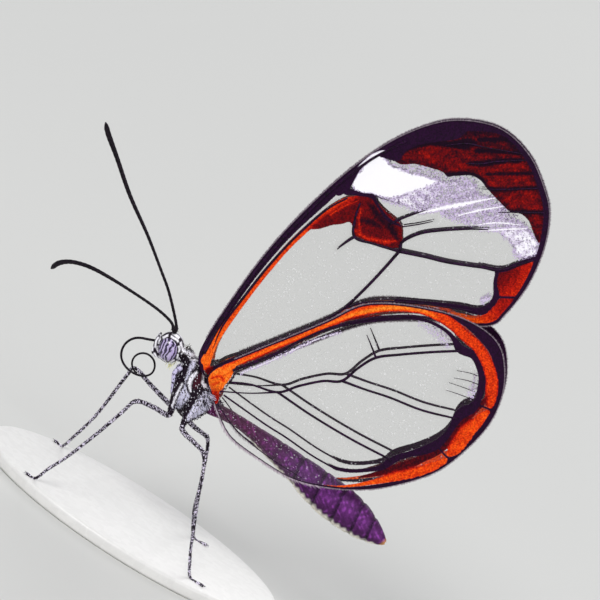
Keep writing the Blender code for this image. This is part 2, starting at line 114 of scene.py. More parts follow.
# Outlines of the wings: X, Z and the width of the dark rim there
FORE_EDGE = (
    (6.2, 13.5, 0.45), (5.9, 15.0, 0.50), (5.9, 17.3, 0.50), (6.1, 21.4, 0.55), (6.6, 25.3, 0.65),
    (7.6, 29.7, 0.80), (8.8, 33.3, 0.42), (10.2, 36.1, 0.85), (12.1, 38.5, 0.95), (14.3, 39.9, 0.72),
    (16.5, 40.4, 0.38), (19.0, 39.8, 0.42), (21.2, 38.3, 0.45), (22.5, 36.9, 0.45), (23.5, 34.6, 0.42),
    (24.0, 31.7, 0.34), (23.8, 28.9, 0.28), (23.1, 27.3, 0.25), (19.4, 25.3, 0.25), (15.6, 22.6, 0.20),
    (12.6, 18.7, 0.18), (10.3, 15.5, 0.15), (9.0, 13.7, 0.12), (8.2, 12.85, 0.10), (7.3, 12.6, 0.12),
)
HIND_EDGE = (
    (7.6, 12.7, 0.10), (7.7, 13.8, 0.12), (8.8, 15.4, 0.15), (10.6, 18.0, 0.15), (12.8, 21.2, 0.15),
    (14.2, 23.5, 0.15), (15.8, 24.8, 0.16), (18.2, 26.0, 0.20), (20.9, 26.9, 0.38), (23.2, 27.1, 0.86),
    (24.8, 26.6, 0.92), (26.0, 25.3, 0.72), (26.8, 23.7, 0.56), (27.2, 21.6, 0.48), (26.9, 19.1, 0.42),
    (25.9, 16.1, 0.42), (23.9, 13.5, 0.38), (21.7, 11.6, 0.28), (19.1, 10.2, 0.15), (16.8, 9.5, 0.11),
    (13.8, 9.45, 0.10), (11.4, 9.7, 0.10), (9.7, 10.7, 0.10), (8.5, 11.6, 0.10),
)

# Veins: X, Z and half the thickness
FORE_VEINS = {
    "costa": ((6.35, 14.0, 0.16), (6.15, 17.3, 0.15), (6.35, 21.4, 0.14), (6.85, 25.2, 0.13),
              (7.85, 29.6, 0.12), (9.1, 33.1, 0.10), (10.6, 35.8, 0.09)),
    "radius": ((6.75, 14.6, 0.02), (6.45, 16.5, 0.07), (6.65, 19.4, 0.10), (6.95, 22.2, 0.09),
               (7.5, 25.2, 0.08), (8.35, 28.2, 0.07), (9.2, 29.8, 0.06)),
    "cubitus": ((7.5, 13.5, 0.08), (9.2, 15.9, 0.09), (10.9, 18.3, 0.09), (12.5, 20.7, 0.09),
                (13.4, 22.5, 0.09), (13.9, 24.4, 0.09), (14.3, 26.5, 0.10), (14.6, 28.5, 0.11)),
    "cell_end": ((10.2, 30.0, 0.07), (10.5, 28.8, 0.09), (11.2, 27.6, 0.11), (12.7, 27.95, 0.10),
                 (14.6, 28.5, 0.12)),
    "stub": ((11.2, 27.6, 0.10), (10.85, 26.8, 0.07), (10.6, 26.1, 0.04)),
    "cubital_branch": ((14.6, 28.5, 0.13), (16.4, 29.2, 0.12), (18.1, 29.8, 0.12), (20.3, 30.8, 0.11),
                       (21.7, 31.5, 0.10), (23.3, 33.4, 0.07)),
    "median_low": ((14.6, 28.5, 0.11), (14.4, 29.2, 0.10), (15.1, 30.4, 0.10), (16.2, 31.4, 0.09),
                   (18.1, 32.8, 0.08), (19.3, 33.5, 0.03)),
    "median_mid": ((13.8, 30.2, 0.05), (14.7, 31.0, 0.05), (15.5, 31.8, 0.03)),
    "median_high": ((12.9, 29.9, 0.09), (13.5, 30.8, 0.08), (14.1, 31.6, 0.06), (14.6, 32.2, 0.02)),
    "tip_high": ((13.2, 37.1, 0.03), (14.5, 38.1, 0.06), (15.8, 38.6, 0.05), (18.4, 39.7, 0.03)),
    "tip_upper": ((15.2, 36.8, 0.03), (16.2, 37.4, 0.06), (17.0, 38.1, 0.06), (18.8, 39.4, 0.04)),
    "tip_middle": ((17.2, 35.8, 0.03), (18.8, 36.8, 0.05), (20.8, 38.2, 0.04)),
    "tip_low": ((19.2, 35.0, 0.03), (20.4, 35.8, 0.05), (22.2, 36.9, 0.04)),
    "hind_branch": ((13.4, 22.5, 0.08), (14.6, 23.9, 0.08), (17.2, 25.6, 0.08), (20.1, 27.0, 0.07),
                    (21.6, 27.7, 0.05)),
}
HIND_VEINS = {
    "cell_top": ((8.9, 14.2, 0.11), (10.9, 17.0, 0.11), (11.9, 18.8, 0.11), (13.0, 20.5, 0.11),
                 (13.9, 21.6, 0.11), (14.9, 22.7, 0.10), (16.4, 24.0, 0.09), (18.0, 25.1, 0.08),
                 (19.3, 25.7, 0.07)),
    "cubitus": ((9.1, 13.3, 0.08), (10.6, 14.0, 0.08), (12.6, 14.6, 0.10), (13.7, 15.9, 0.10),
                (15.0, 17.2, 0.10), (16.2, 18.0, 0.11), (16.7, 19.5, 0.10), (17.4, 20.9, 0.11),
                (18.8, 22.1, 0.10), (20.6, 23.5, 0.10), (22.4, 24.8, 0.10)),
    "cubitus_root": ((8.9, 12.3, 0.06), (10.9, 13.4, 0.05), (12.6, 14.6, 0.08)),
    "stub": ((17.4, 20.9, 0.09), (16.6, 21.5, 0.06), (15.9, 22.0, 0.03)),
    "median": ((16.2, 18.0, 0.11), (18.0, 18.4, 0.09), (19.9, 18.9, 0.09), (22.4, 19.4, 0.09),
               (25.0, 20.3, 0.08)),
    "cubital_branch": ((12.6, 14.6, 0.10), (15.7, 14.5, 0.09), (19.2, 14.6, 0.09), (22.5, 14.9, 0.09)),
    "anal": ((9.3, 12.2, 0.07), (12.9, 12.0, 0.07), (14.9, 12.0, 0.07), (17.3, 11.9, 0.07),
             (19.4, 12.0, 0.07)),
    "tail_high": ((9.3, 11.3, 0.05), (11.6, 10.4, 0.04), (14.5, 10.0, 0.04), (17.6, 10.0, 0.03)),
    "stray_high": ((23.1, 22.8, 0.02), (24.1, 23.2, 0.03), (25.0, 23.4, 0.03)),
    "stray_low": ((23.1, 21.7, 0.02), (24.3, 22.0, 0.03), (25.3, 22.2, 0.03)),
}

# Forewing markings. A stroke gives X, Z and half its width; an area gives its outline
RAY_TILT = math.radians(32.5)
STREAK_DRAW = 5
FORE_ROOT = ((6.45, 12.85, 0.26), (6.78, 13.35, 0.44), (6.74, 13.9, 0.36), (6.64, 14.6, 0.29),
             (6.6, 15.3, 0.26))
FORE_STRIPE = ((6.72, 13.6, 0.30), (6.6, 15.0, 0.26), (6.6, 16.5, 0.25), (6.8, 19.4, 0.22),
               (7.1, 22.2, 0.21), (7.55, 24.9, 0.21), (8.45, 28.0, 0.23), (9.2, 29.5, 0.26),
               (9.9, 30.3, 0.12))
CELL_PATCH = ((7.9, 26.3), (8.3, 27.6), (8.9, 29.0), (9.4, 30.0), (9.95, 30.6), (10.7, 30.9), (11.8, 30.6),
              (12.8, 30.45), (13.6, 30.3), (14.1, 29.7), (14.5, 28.9), (13.9, 28.35), (12.7, 27.95),
              (11.6, 27.75), (11.0, 27.7), (10.75, 28.1), (10.3, 28.35), (9.9, 27.9), (9.3, 27.4),
              (8.6, 26.6))
CELL_EDGE = ((10.95, 28.05, 0.06), (11.5, 27.95, 0.12), (12.4, 28.15, 0.13), (13.4, 28.6, 0.12),
             (14.0, 29.05, 0.06))
CELL_LINES = (((10.45, 29.7, 0.05), (10.85, 28.8, 0.07), (11.4, 28.1, 0.06)),
              ((8.8, 28.0, 0.07), (9.25, 29.0, 0.06), (10.0, 30.1, 0.03)))
CELL_SHADE = (((11.0, 30.3, 0.16), (11.9, 29.9, 0.24), (13.0, 29.7, 0.24), (14.0, 29.2, 0.12)),
              ((10.9, 28.9, 0.10), (11.6, 29.2, 0.20), (12.4, 29.3, 0.14)))
CELL_BLACK = (((9.9, 30.55, 0.12), (10.7, 30.9, 0.16), (11.5, 30.5, 0.10), (12.6, 30.1, 0.14),
               (13.7, 30.2, 0.08)),)
APEX = ((10.55, 34.2), (10.7, 35.3), (11.4, 36.4), (12.7, 37.6), (14.2, 39.2), (16.4, 40.2), (18.3, 39.7),
        (20.1, 38.8), (21.4, 37.6), (22.4, 36.4), (23.1, 35.0), (22.9, 34.7), (22.1, 35.2), (21.4, 35.7),
        (20.6, 35.8), (20.0, 35.5), (18.9, 35.7), (18.1, 35.9), (17.4, 36.1), (16.8, 36.3), (16.0, 36.2),
        (15.0, 35.5), (14.6, 35.2), (14.1, 35.3), (13.3, 35.1), (12.1, 34.7), (11.2, 34.1))
APEX_RAYS = (
    ((15.5, 37.0, 0.10), (16.2, 37.4, 0.17), (17.0, 38.1, 0.15), (18.5, 39.2, 0.08)),
    ((17.7, 36.1, 0.09), (18.8, 36.8, 0.10), (20.6, 38.1, 0.07)),
    ((19.5, 35.2, 0.08), (20.4, 35.8, 0.09), (22.0, 36.8, 0.08)),
    ((15.4, 38.0, 0.10), (16.3, 38.6, 0.07), (18.2, 39.6, 0.05)),
    ((15.1, 38.8, 0.05), (16.4, 39.7, 0.05), (17.3, 40.1, 0.04)),
    ((17.0, 37.0, 0.05), (18.4, 37.9, 0.05), (19.8, 38.9, 0.04)),
    ((14.5, 35.3, 0.10), (15.4, 35.9, 0.13), (16.4, 36.4, 0.12), (17.3, 36.2, 0.06)),
    ((11.0, 35.4, 0.05), (12.2, 36.6, 0.08), (13.6, 37.4, 0.14), (14.4, 38.0, 0.30), (14.9, 38.4, 0.12)),
)
OUTER_RED = ((21.75, 30.6), (21.6, 31.25), (22.4, 32.2), (23.5, 33.4), (23.8, 33.0), (24.1, 32.1),
             (24.1, 31.0), (24.0, 30.5), (23.0, 29.9), (22.4, 29.5))
TORNUS = ((24.0, 30.3, 0.30), (23.45, 29.55, 0.62), (23.2, 28.7, 0.54), (22.85, 27.8, 0.42),
          (22.1, 27.05, 0.28), (21.2, 26.75, 0.20), (20.4, 26.5, 0.12))
TORNUS_DARK = ((16.4, 25.2, 0.16), (18.6, 26.4, 0.16), (20.5, 27.35, 0.20), (21.9, 27.85, 0.30),
               (22.6, 28.6, 0.38), (22.5, 29.5, 0.26), (21.85, 30.4, 0.14), (21.5, 31.3, 0.15))
TORNUS_LINE = ((20.1, 30.8, 0.12), (21.7, 31.45, 0.18), (22.6, 32.6, 0.17), (23.4, 33.6, 0.16))
TORNUS_GAP = ((22.3, 29.4, 0.06), (23.05, 29.85, 0.09), (24.1, 30.5, 0.08))
WHITE_PATCH = ((8.95, 30.9), (8.9, 31.9), (9.15, 33.3), (9.45, 33.95), (10.6, 33.65), (11.8, 33.85),
               (13.0, 34.2), (14.1, 34.55), (13.95, 34.0), (13.45, 33.4), (12.9, 32.7), (12.4, 32.0),
               (11.7, 31.45), (11.2, 31.2), (10.6, 31.1), (10.1, 30.8), (9.4, 30.6))
PATCH_BLACK = (((8.4, 29.9, 0.36), (8.6, 30.7, 0.36), (8.64, 31.5, 0.26), (8.7, 32.3, 0.15)),
               ((8.9, 30.2, 0.30), (9.55, 30.45, 0.18), (10.2, 30.7, 0.13), (10.85, 31.05, 0.08),
                (11.5, 31.2, 0.05), (12.5, 31.5, 0.04), (13.2, 31.65, 0.03)))
COSTAL_WHITE = ((8.62, 32.2, 0.03), (8.85, 32.9, 0.09), (9.08, 33.5, 0.12), (9.38, 34.0, 0.11),
                (9.65, 34.35, 0.03))
HAZE_TOP = ((10.6, 33.7), (11.0, 34.2), (12.1, 34.75), (13.4, 35.15), (14.2, 35.25), (15.0, 35.5),
            (16.0, 36.2), (16.7, 36.2), (15.6, 35.4), (14.2, 34.5), (13.0, 34.1), (11.8, 33.7))
HAZE_HIGH = ((11.4, 31.1), (12.2, 31.8), (12.8, 32.7), (13.3, 33.4), (13.9, 34.05), (14.2, 34.55),
             (15.4, 35.5), (16.4, 35.95), (17.4, 35.5), (18.2, 35.65), (17.5, 34.8), (16.6, 33.75),
             (15.55, 32.75), (14.5, 31.9), (13.7, 31.55), (13.2, 31.6), (12.2, 31.3))
HAZE_LOW = ((15.5, 32.6), (16.6, 33.7), (17.6, 34.75), (18.2, 35.6), (19.0, 35.7), (19.75, 35.45),
            (20.45, 35.3), (21.4, 35.3), (21.3, 34.95), (19.35, 33.9), (17.9, 33.0), (16.5, 32.6))
END_SPOT = ((20.0, 33.9), (20.6, 34.8), (21.6, 35.1), (22.5, 34.9), (23.2, 34.35), (23.25, 33.6),
            (22.55, 33.0), (21.9, 32.95), (21.6, 33.4), (20.9, 33.6))
END_SPOT_CORE = ((21.7, 33.35), (21.6, 34.1), (21.75, 34.8), (22.2, 34.95), (22.75, 34.75), (23.2, 34.3),
                 (23.2, 33.65), (22.75, 33.15), (22.1, 33.05))
BAND_RAYS = (
    ((14.3, 31.75, 0.07), (15.45, 32.9, 0.18), (16.5, 33.9, 0.20), (17.5, 34.9, 0.13), (18.4, 35.75, 0.04)),
    ((16.9, 33.25, 0.04), (18.0, 34.4, 0.11), (19.25, 35.55, 0.04)),
    ((18.45, 33.4, 0.04), (19.5, 34.25, 0.08), (21.1, 35.1, 0.04)),
    ((18.8, 33.1, 0.04), (20.2, 34.1, 0.09), (21.6, 35.1, 0.04)),
)
TIP_SHOULDER = ((9.1, 33.9), (9.7, 33.8), (10.5, 34.0), (11.0, 34.3), (11.0, 35.0), (11.5, 36.0),
                (12.7, 37.1), (13.9, 38.3), (13.6, 39.4), (11.6, 38.0), (9.9, 35.8))
MARGIN_BAND = ((7.45, 13.15, 0.34), (7.95, 13.55, 0.38), (8.6, 14.1, 0.32), (10.1, 16.3, 0.36),
               (11.8, 18.8, 0.40), (13.3, 21.1, 0.42), (14.6, 22.8, 0.42), (16.2, 24.3, 0.36),
               (18.4, 25.6, 0.25), (20.0, 26.3, 0.12))
TORNUS_SPOT = ((21.8, 28.7, 0.24), (22.0, 29.1, 0.24))
MARGIN_STREAKS = (((8.2, 14.2, 0.03), (9.6, 16.2, 0.05), (11.2, 18.6, 0.05), (12.9, 21.0, 0.05),
                   (14.0, 22.7, 0.04), (15.8, 24.3, 0.05), (17.6, 25.4, 0.04), (19.4, 26.3, 0.02)),)

# Hindwing markings
HIND_COSTAL = ((8.3, 14.2, 0.25), (9.3, 15.6, 0.27), (10.7, 17.7, 0.29), (12.0, 19.6, 0.31),
               (13.2, 21.4, 0.33), (14.4, 23.1, 0.36), (16.2, 24.75, 0.39), (18.0, 25.8, 0.41),
               (19.5, 26.15, 0.42), (20.9, 26.15, 0.43), (22.1, 25.95, 0.44), (23.3, 25.75, 0.44),
               (24.4, 25.2, 0.46), (25.45, 24.35, 0.50), (26.1, 23.3, 0.50), (26.45, 22.6, 0.36),
               (26.6, 22.25, 0.15))
HIND_CORE = ((8.6, 14.3, 0.10), (9.7, 15.9, 0.13), (11.1, 18.0, 0.15), (12.4, 19.9, 0.16),
             (13.5, 21.6, 0.17), (14.7, 23.2, 0.18), (16.3, 24.7, 0.17), (18.2, 25.75, 0.14),
             (19.6, 26.0, 0.06))
HIND_OUTER_LOW = ((26.6, 21.9, 0.24), (26.45, 21.4, 0.38), (26.38, 20.8, 0.44), (26.15, 20.1, 0.58),
                  (26.1, 19.5, 0.62), (26.1, 18.8, 0.58), (26.02, 18.1, 0.50), (25.95, 17.75, 0.30))
HIND_LOWER = ((25.95, 17.1, 0.22), (25.4, 16.15, 0.38), (24.4, 14.9, 0.40), (23.5, 14.05, 0.42),
              (22.9, 13.35, 0.30), (22.3, 12.7, 0.20), (21.3, 11.75, 0.13), (20.3, 10.95, 0.10),
              (19.3, 10.4, 0.06))
HIND_GAPS = (((25.5, 22.0, 0.06), (26.2, 22.15, 0.08), (27.0, 22.3, 0.08)),
             ((25.0, 17.65, 0.06), (25.6, 17.45, 0.08), (26.5, 17.3, 0.08)))
HIND_ROOT = ((7.4, 13.3), (8.1, 14.1), (8.8, 14.7), (9.05, 13.8), (9.0, 13.0), (8.9, 12.2), (8.5, 11.9),
             (8.0, 12.3))
HIND_ROOT_LOW = ((8.4, 12.1), (8.8, 12.3), (9.2, 11.6), (9.2, 11.2), (8.8, 11.1), (8.4, 11.6))
HIND_ROOT_EDGE = ((9.0, 14.7, 0.05), (9.2, 13.8, 0.08), (9.1, 12.8, 0.06), (9.2, 11.9, 0.05))
HIND_ROOT_RED = (((7.9, 13.0, 0.10), (8.3, 13.35, 0.12), (8.75, 13.2, 0.08)),
                 ((8.2, 12.5, 0.08), (8.5, 13.0, 0.05)))
HIND_UNDER = ((9.4, 14.8, 0.08), (10.9, 17.0, 0.10), (11.9, 18.8, 0.10), (13.0, 20.4, 0.11),
              (14.0, 21.6, 0.12), (15.0, 22.6, 0.13), (16.5, 23.8, 0.14), (18.0, 24.9, 0.13),
              (19.3, 25.4, 0.13), (20.6, 25.5, 0.14), (21.5, 25.3, 0.20), (22.2, 24.95, 0.34),
              (22.75, 24.95, 0.34), (23.45, 25.08, 0.34), (24.18, 24.68, 0.32), (24.85, 24.0, 0.30),
              (25.28, 23.18, 0.32), (25.5, 22.4, 0.26), (25.45, 21.6, 0.40), (25.1, 21.0, 0.44),
              (24.95, 20.4, 0.38), (25.0, 19.5, 0.26), (24.95, 18.6, 0.28), (24.7, 17.7, 0.36),
              (24.2, 16.9, 0.34), (23.5, 16.1, 0.25), (22.9, 15.4, 0.26), (22.5, 14.7, 0.30),
              (22.2, 14.0, 0.24), (21.5, 13.3, 0.16), (20.5, 12.55, 0.16), (19.5, 12.1, 0.15),
              (18.6, 12.0, 0.09))
HIND_SHADOW = ((26.0, 23.0, 0.14), (25.9, 22.3, 0.22), (25.75, 21.5, 0.22), (25.6, 20.8, 0.26),
               (25.4, 20.0, 0.24), (25.35, 19.0, 0.22), (25.3, 18.0, 0.28), (25.0, 17.2, 0.28),
               (24.5, 16.4, 0.30), (23.85, 15.4, 0.34), (23.2, 14.6, 0.34), (22.6, 13.9, 0.28),
               (22.0, 13.2, 0.18), (21.2, 12.4, 0.08))
HIND_MAROON = ((9.3, 15.05, 0.07), (10.7, 17.2, 0.08), (11.8, 19.0, 0.08), (12.9, 20.7, 0.09),
               (14.0, 22.1, 0.10), (15.2, 23.2, 0.10), (16.7, 24.2, 0.10), (18.0, 25.1, 0.07))
HIND_PALE = ((9.5, 14.3, 0.05), (10.8, 16.2, 0.07), (11.9, 18.0, 0.07), (13.0, 19.7, 0.07),
             (14.2, 21.1, 0.04))
HIND_HAZE = (((18.9, 24.9, 0.20), (20.2, 24.9, 0.30), (21.4, 24.6, 0.20)),
             ((24.5, 23.3, 0.14), (24.9, 22.4, 0.22)))

# Middle lines of limbs and feelers, as the solids have them
MIDLEG_LEFT = ((6.35, -1.15, 9.90), (6.52, -1.34, 9.20), (6.62, -1.42, 8.62), (6.25, -1.90, 8.62),
               (5.35, -2.70, 8.80), (4.02, -4.00, 8.80), (3.60, -4.25, 7.60), (2.90, -4.60, 5.35),
               (2.00, -5.00, 2.80), (1.35, -5.20, 1.40), (0.75, -5.40, 0.22), (0.00, -5.50, 0.22))
MIDLEG_RIGHT = ((6.35, 1.15, 9.90), (6.52, 1.34, 9.20), (6.62, 1.42, 8.62), (6.10, 1.85, 8.50),
                (4.20, 2.80, 8.70), (2.45, 4.00, 8.85), (2.20, 4.30, 7.90), (1.96, 5.00, 5.15),
                (1.75, 5.35, 3.40), (1.30, 5.70, 1.50), (0.85, 5.90, 0.22), (0.10, 6.05, 0.22))
HINDLEG_LEFT = ((7.72, -1.20, 9.90), (7.82, -1.45, 9.20), (7.90, -1.60, 8.62), (8.20, -1.95, 8.25),
                (9.50, -2.95, 8.22), (10.45, -3.80, 8.10), (11.14, -4.20, 6.93), (11.91, -4.70, 5.05),
                (12.82, -5.00, 3.10), (13.60, -5.25, 1.40), (14.50, -5.40, 0.22), (15.70, -5.55, 0.22))
HINDLEG_RIGHT = ((7.72, 1.20, 9.90), (7.82, 1.45, 9.20), (7.90, 1.60, 8.62), (8.25, 1.90, 8.10),
                 (9.15, 2.65, 7.75), (9.90, 3.50, 7.45), (10.25, 3.70, 6.98), (10.60, 3.80, 6.20),
                 (11.46, 4.00, 3.85), (12.20, 4.10, 1.60), (13.20, 4.15, 0.22), (14.40, 4.15, 0.22))
FORELEG = ((5.50, 0.60, 12.00), (5.28, 0.86, 11.50), (5.58, 0.99, 10.85), (5.98, 1.02, 10.00))
ANTENNA_LEFT = ((3.62, -0.30, 13.95), (3.45, -0.40, 14.55), (1.71, -0.91, 16.48), (0.24, -1.43, 17.79),
                (-1.90, -1.94, 19.56), (-4.54, -2.46, 21.50), (-6.80, -2.97, 23.49), (-8.23, -3.49, 24.76),
                (-8.84, -4.00, 25.52))
ANTENNA_RIGHT = ((3.50, 0.30, 13.95), (3.00, 0.45, 14.30), (1.98, 0.91, 14.42), (0.69, 1.42, 14.40),
                 (-0.97, 1.93, 14.31), (-2.53, 2.44, 14.18), (-4.07, 2.96, 13.97), (-5.16, 3.47, 13.65),
                 (-6.13, 3.98, 13.15), (-6.81, 4.49, 12.46), (-7.11, 5.00, 11.66))
COIL_BIG = (2.35, 10.85, 1.42)
COIL_SMALL = (2.93, 10.28, 0.90)
COIL_DRIFT = 0.95
COIL_START = 115
COIL_END = 630
TONGUE_ROOT = ((3.00, 0.0, 12.66), (2.62, 0.0, 12.50), (2.20, 0.0, 12.32))

# Thickness: of a limb by how far along it lies, of the solids' limbs at the foot, and of a feeler
LIMB_RADII = ((0.0, 0.19), (0.06, 0.22), (0.2, 0.19), (0.29, 0.16), (0.32, 0.19), (0.36, 0.135),
              (0.6, 0.13), (0.7, 0.12), (1.0, 0.105))
SOLID_RADIUS = 0.22
SOLE_DROP = 0.14
FEELER_RADIUS = 0.112
FEELER_SWELL = 0.055
FEELER_CLUB = 0.040
FEELER_FOOT = 0.07
FEELER_RINGS = 0.006

# Base: its rounded rim and how many points go round it
BASE_RIM = 0.24
BASE_AROUND = 160

# Trunk and head: middle, half sizes and forward lean
THORAX = ((7.10, 0.0, 11.0), (1.57, 1.27, 2.46), 24.0)
COLLAR = ((5.60, 0.0, 12.65), (0.52, 0.90, 0.85), 20.0)
SHOULDER = ((7.25, 0.0, 12.70), (1.30, 0.70, 1.00), 20.0)
NECK = ((4.95, 0.0, 12.75), (0.55, 0.50, 0.60), 0.0)
HEAD = ((3.96, 0.0, 12.75), (1.04, 0.86, 1.22), 16.0)
EYE_SIZE = (0.72, 0.50, 0.88)
EYE_AT = (3.92, 0.85, 12.68)
EYE_LEAN = 32.0
HIPS = (((6.05, -0.80, 11.20), (6.64, -1.42, 8.62), 0.56, 0.20),
        ((7.75, -0.85, 10.90), (7.90, -1.60, 8.60), 0.62, 0.22))
ABDOMEN = ((8.2, 10.55, 0.75, 0.75), (9.15, 10.50, 0.55, 0.60), (10.4, 10.66, 0.50, 0.57),
           (11.8, 10.68, 0.50, 0.60), (13.3, 10.54, 0.66, 0.70), (14.8, 10.33, 0.88, 0.80),
           (16.6, 10.10, 1.08, 0.90), (18.6, 9.75, 1.40, 0.98), (20.2, 9.52, 1.53, 1.06),
           (21.6, 9.40, 1.52, 1.12), (22.9, 9.26, 1.36, 1.06), (24.0, 9.10, 1.06, 0.86),
           (24.9, 8.98, 0.66, 0.56), (25.6, 8.88, 0.22, 0.20))
SEGMENTS = (11.2, 13.2, 15.2, 17.2, 19.2, 21.1, 22.8, 24.1)
GROOVE_DEPTH = 0.075
FOLD_DEPTH = 0.022
BODY_AROUND = 40
PALP = ((3.70, 0.40, 11.85), (3.15, 0.52, 11.85), (2.90, 0.52, 12.50), (2.74, 0.50, 13.20))
VOXEL = 0.055

# Coat: how many hairs, where head and trunk end along the body, and the unwrap round its long axis
COAT_HAIRS = 9000
HEAD_END = 4.8
WAIST = 9.0
TAIL_START = 9.1
COAT_AXIS = 11.0
COAT_FRONT = 2.0
COAT_LENGTH = 24.5

# Tufts: place, direction, length, number of hairs and tint
TUFTS = (
    ((4.65, 0.62, 11.75), (0.25, 0.15, -1.0), 0.42, 16, (0.80, 0.78, 0.42)),
    ((5.05, 0.25, 13.25), (0.35, 0.15, 1.0), 0.24, 26, (0.05, 0.035, 0.03)),
    ((3.60, 0.30, 13.90), (-0.1, 0.2, 1.0), 0.22, 26, (0.03, 0.02, 0.03)),
    ((7.20, 0.95, 13.0), (0.5, 0.25, 0.6), 0.30, 24, (0.22, 0.07, 0.06)),
    ((8.60, 0.95, 11.6), (0.9, 0.3, 0.1), 0.40, 36, (0.60, 0.52, 0.68)),
    ((9.20, 0.45, 10.9), (0.8, 0.2, 0.6), 0.38, 40, (0.05, 0.01, 0.06)),
)

# One hair's patch on the unwrap, and the fineness of scales, clouds, ragged edges, eye stripes and facets
BLADE_PATCH = np.array([(0, 0), (0.003, 0), (0.003, 0.0015), (0, 0.0015), (0.0015, 0.003)])
WING_SCALE = 0.085
CLOUD_NOISE = 2600.0
RAGGED_NOISE = 9000.0
MARK_RAG = 0.10
MARK_BLUR = 0.03
STRIPE_NOISE = 1700.0
STRIPE_LEAN = 0.18
STRIPE_BEND = 0.62
STRIPE_STEP = 0.29
FACET_COUNT = 24000.0


def smooth_line(points, step, closed=False):
    """Evenly spaced points of a smooth curve through every given point; further columns ride along."""
    pts = np.array(points, float)
    if closed:
        ring = np.vstack([pts[-1:], pts, pts[:2]])
    else:
        ring = np.vstack([2 * pts[:1] - pts[1:2], pts, 2 * pts[-1:] - pts[-2:-1]])
    t = np.linspace(0, 1, 17)[:-1, None]
    fine = []
    for a, b, c, d in zip(ring, ring[1:], ring[2:], ring[3:]):
        fine.append(0.5 * (2 * b + (c - a) * t + (2 * a - 5 * b + 4 * c - d) * t ** 2
                           + (3 * b - a - 3 * c + d) * t ** 3))
    fine = np.vstack(fine + [ring[-2:-1]])
    run = np.r_[0, np.cumsum(np.linalg.norm(np.diff(fine[:, :3 if pts.shape[1] > 3 else 2], axis=0), axis=1))]
    want = np.linspace(0, run[-1], max(3, int(round(run[-1] / step)) + 1))
    made = np.column_stack([np.interp(want, run, fine[:, k]) for k in range(fine.shape[1])])
    return made[:-1] if closed else made


def smooth_path(points, step):
    """The same for a line in space."""
    pts = np.array(points, float)
    padded = np.column_stack([pts, np.zeros(len(pts))])
    return smooth_line(padded, step)[:, :3]


def nearest(spots, line):
    """Distance in the plane from each spot to a chain, and the chain's further column where it is nearest."""
    best = np.full(len(spots), 1e9)
    extra = np.zeros(len(spots))
    for a, b in zip(line, line[1:]):
        run = b[:2] - a[:2]
        t = np.clip(((spots - a[:2]) @ run) / max(1e-12, run @ run), 0, 1)
        gap = np.hypot(*(spots - a[:2] - t[:, None] * run).T)
        closer = gap < best
        best[closer] = gap[closer]
        if len(a) > 2:
            extra[closer] = (a[2] + t * (b[2] - a[2]))[closer]
    return best, extra


def inside(spots, ring):
    hit = np.zeros(len(spots), bool)
    for a, b in zip(ring, np.roll(ring, -1, axis=0)):
        spans = (a[1] > spots[:, 1]) != (b[1] > spots[:, 1])
        if abs(b[1] - a[1]) < 1e-12:
            continue
        cross = a[0] + (spots[:, 1] - a[1]) / (b[1] - a[1]) * (b[0] - a[0])
        hit ^= spans & (spots[:, 0] < cross)
    return hit


def stroke(spots, points):
    """How far inside a stroke of changing width each spot lies."""
    gap, half = nearest(spots, smooth_line(points, STROKE_STEP))
    return half - gap


def area(spots, points):
    """How far inside an outline each spot lies."""
    ring = smooth_line(points, AREA_STEP, closed=True)[:, :2]
    gap, _ = nearest(spots, np.vstack([ring, ring[:1]]))
    return np.where(inside(spots, ring), gap, -gap)


def deepest(spots, strokes):
    """How far inside the nearest of several strokes each spot lies."""
    return np.max([stroke(spots, points) for points in strokes], axis=0)


def fade(depth, blur):
    """How much of a marking a depth inside it shows: 0 outside, 1 inside, and half on its edge."""
    return np.clip(0.5 + depth / blur, 0, 1)


def strongest(layers):
    """The strongest of several pale markings, each given by its strength, its depth and its blur."""
    return np.max([strength * fade(depth, blur) for strength, depth, blur in layers], axis=0)


def rise(value, start, span):
    """Goes from 0 at the start to 1 a span further on; a span below 0 runs the other way."""
    return np.clip((value - start) / span, 0, 1)


def hump(value, middle, width):
    return np.exp(-((value - middle) / width) ** 2)


def dome(spots, middle, reach):
    """A round hump, 1 at its middle."""
    return np.exp(-((spots[:, 0] - middle[0]) ** 2 + (spots[:, 1] - middle[1]) ** 2) / reach ** 2)


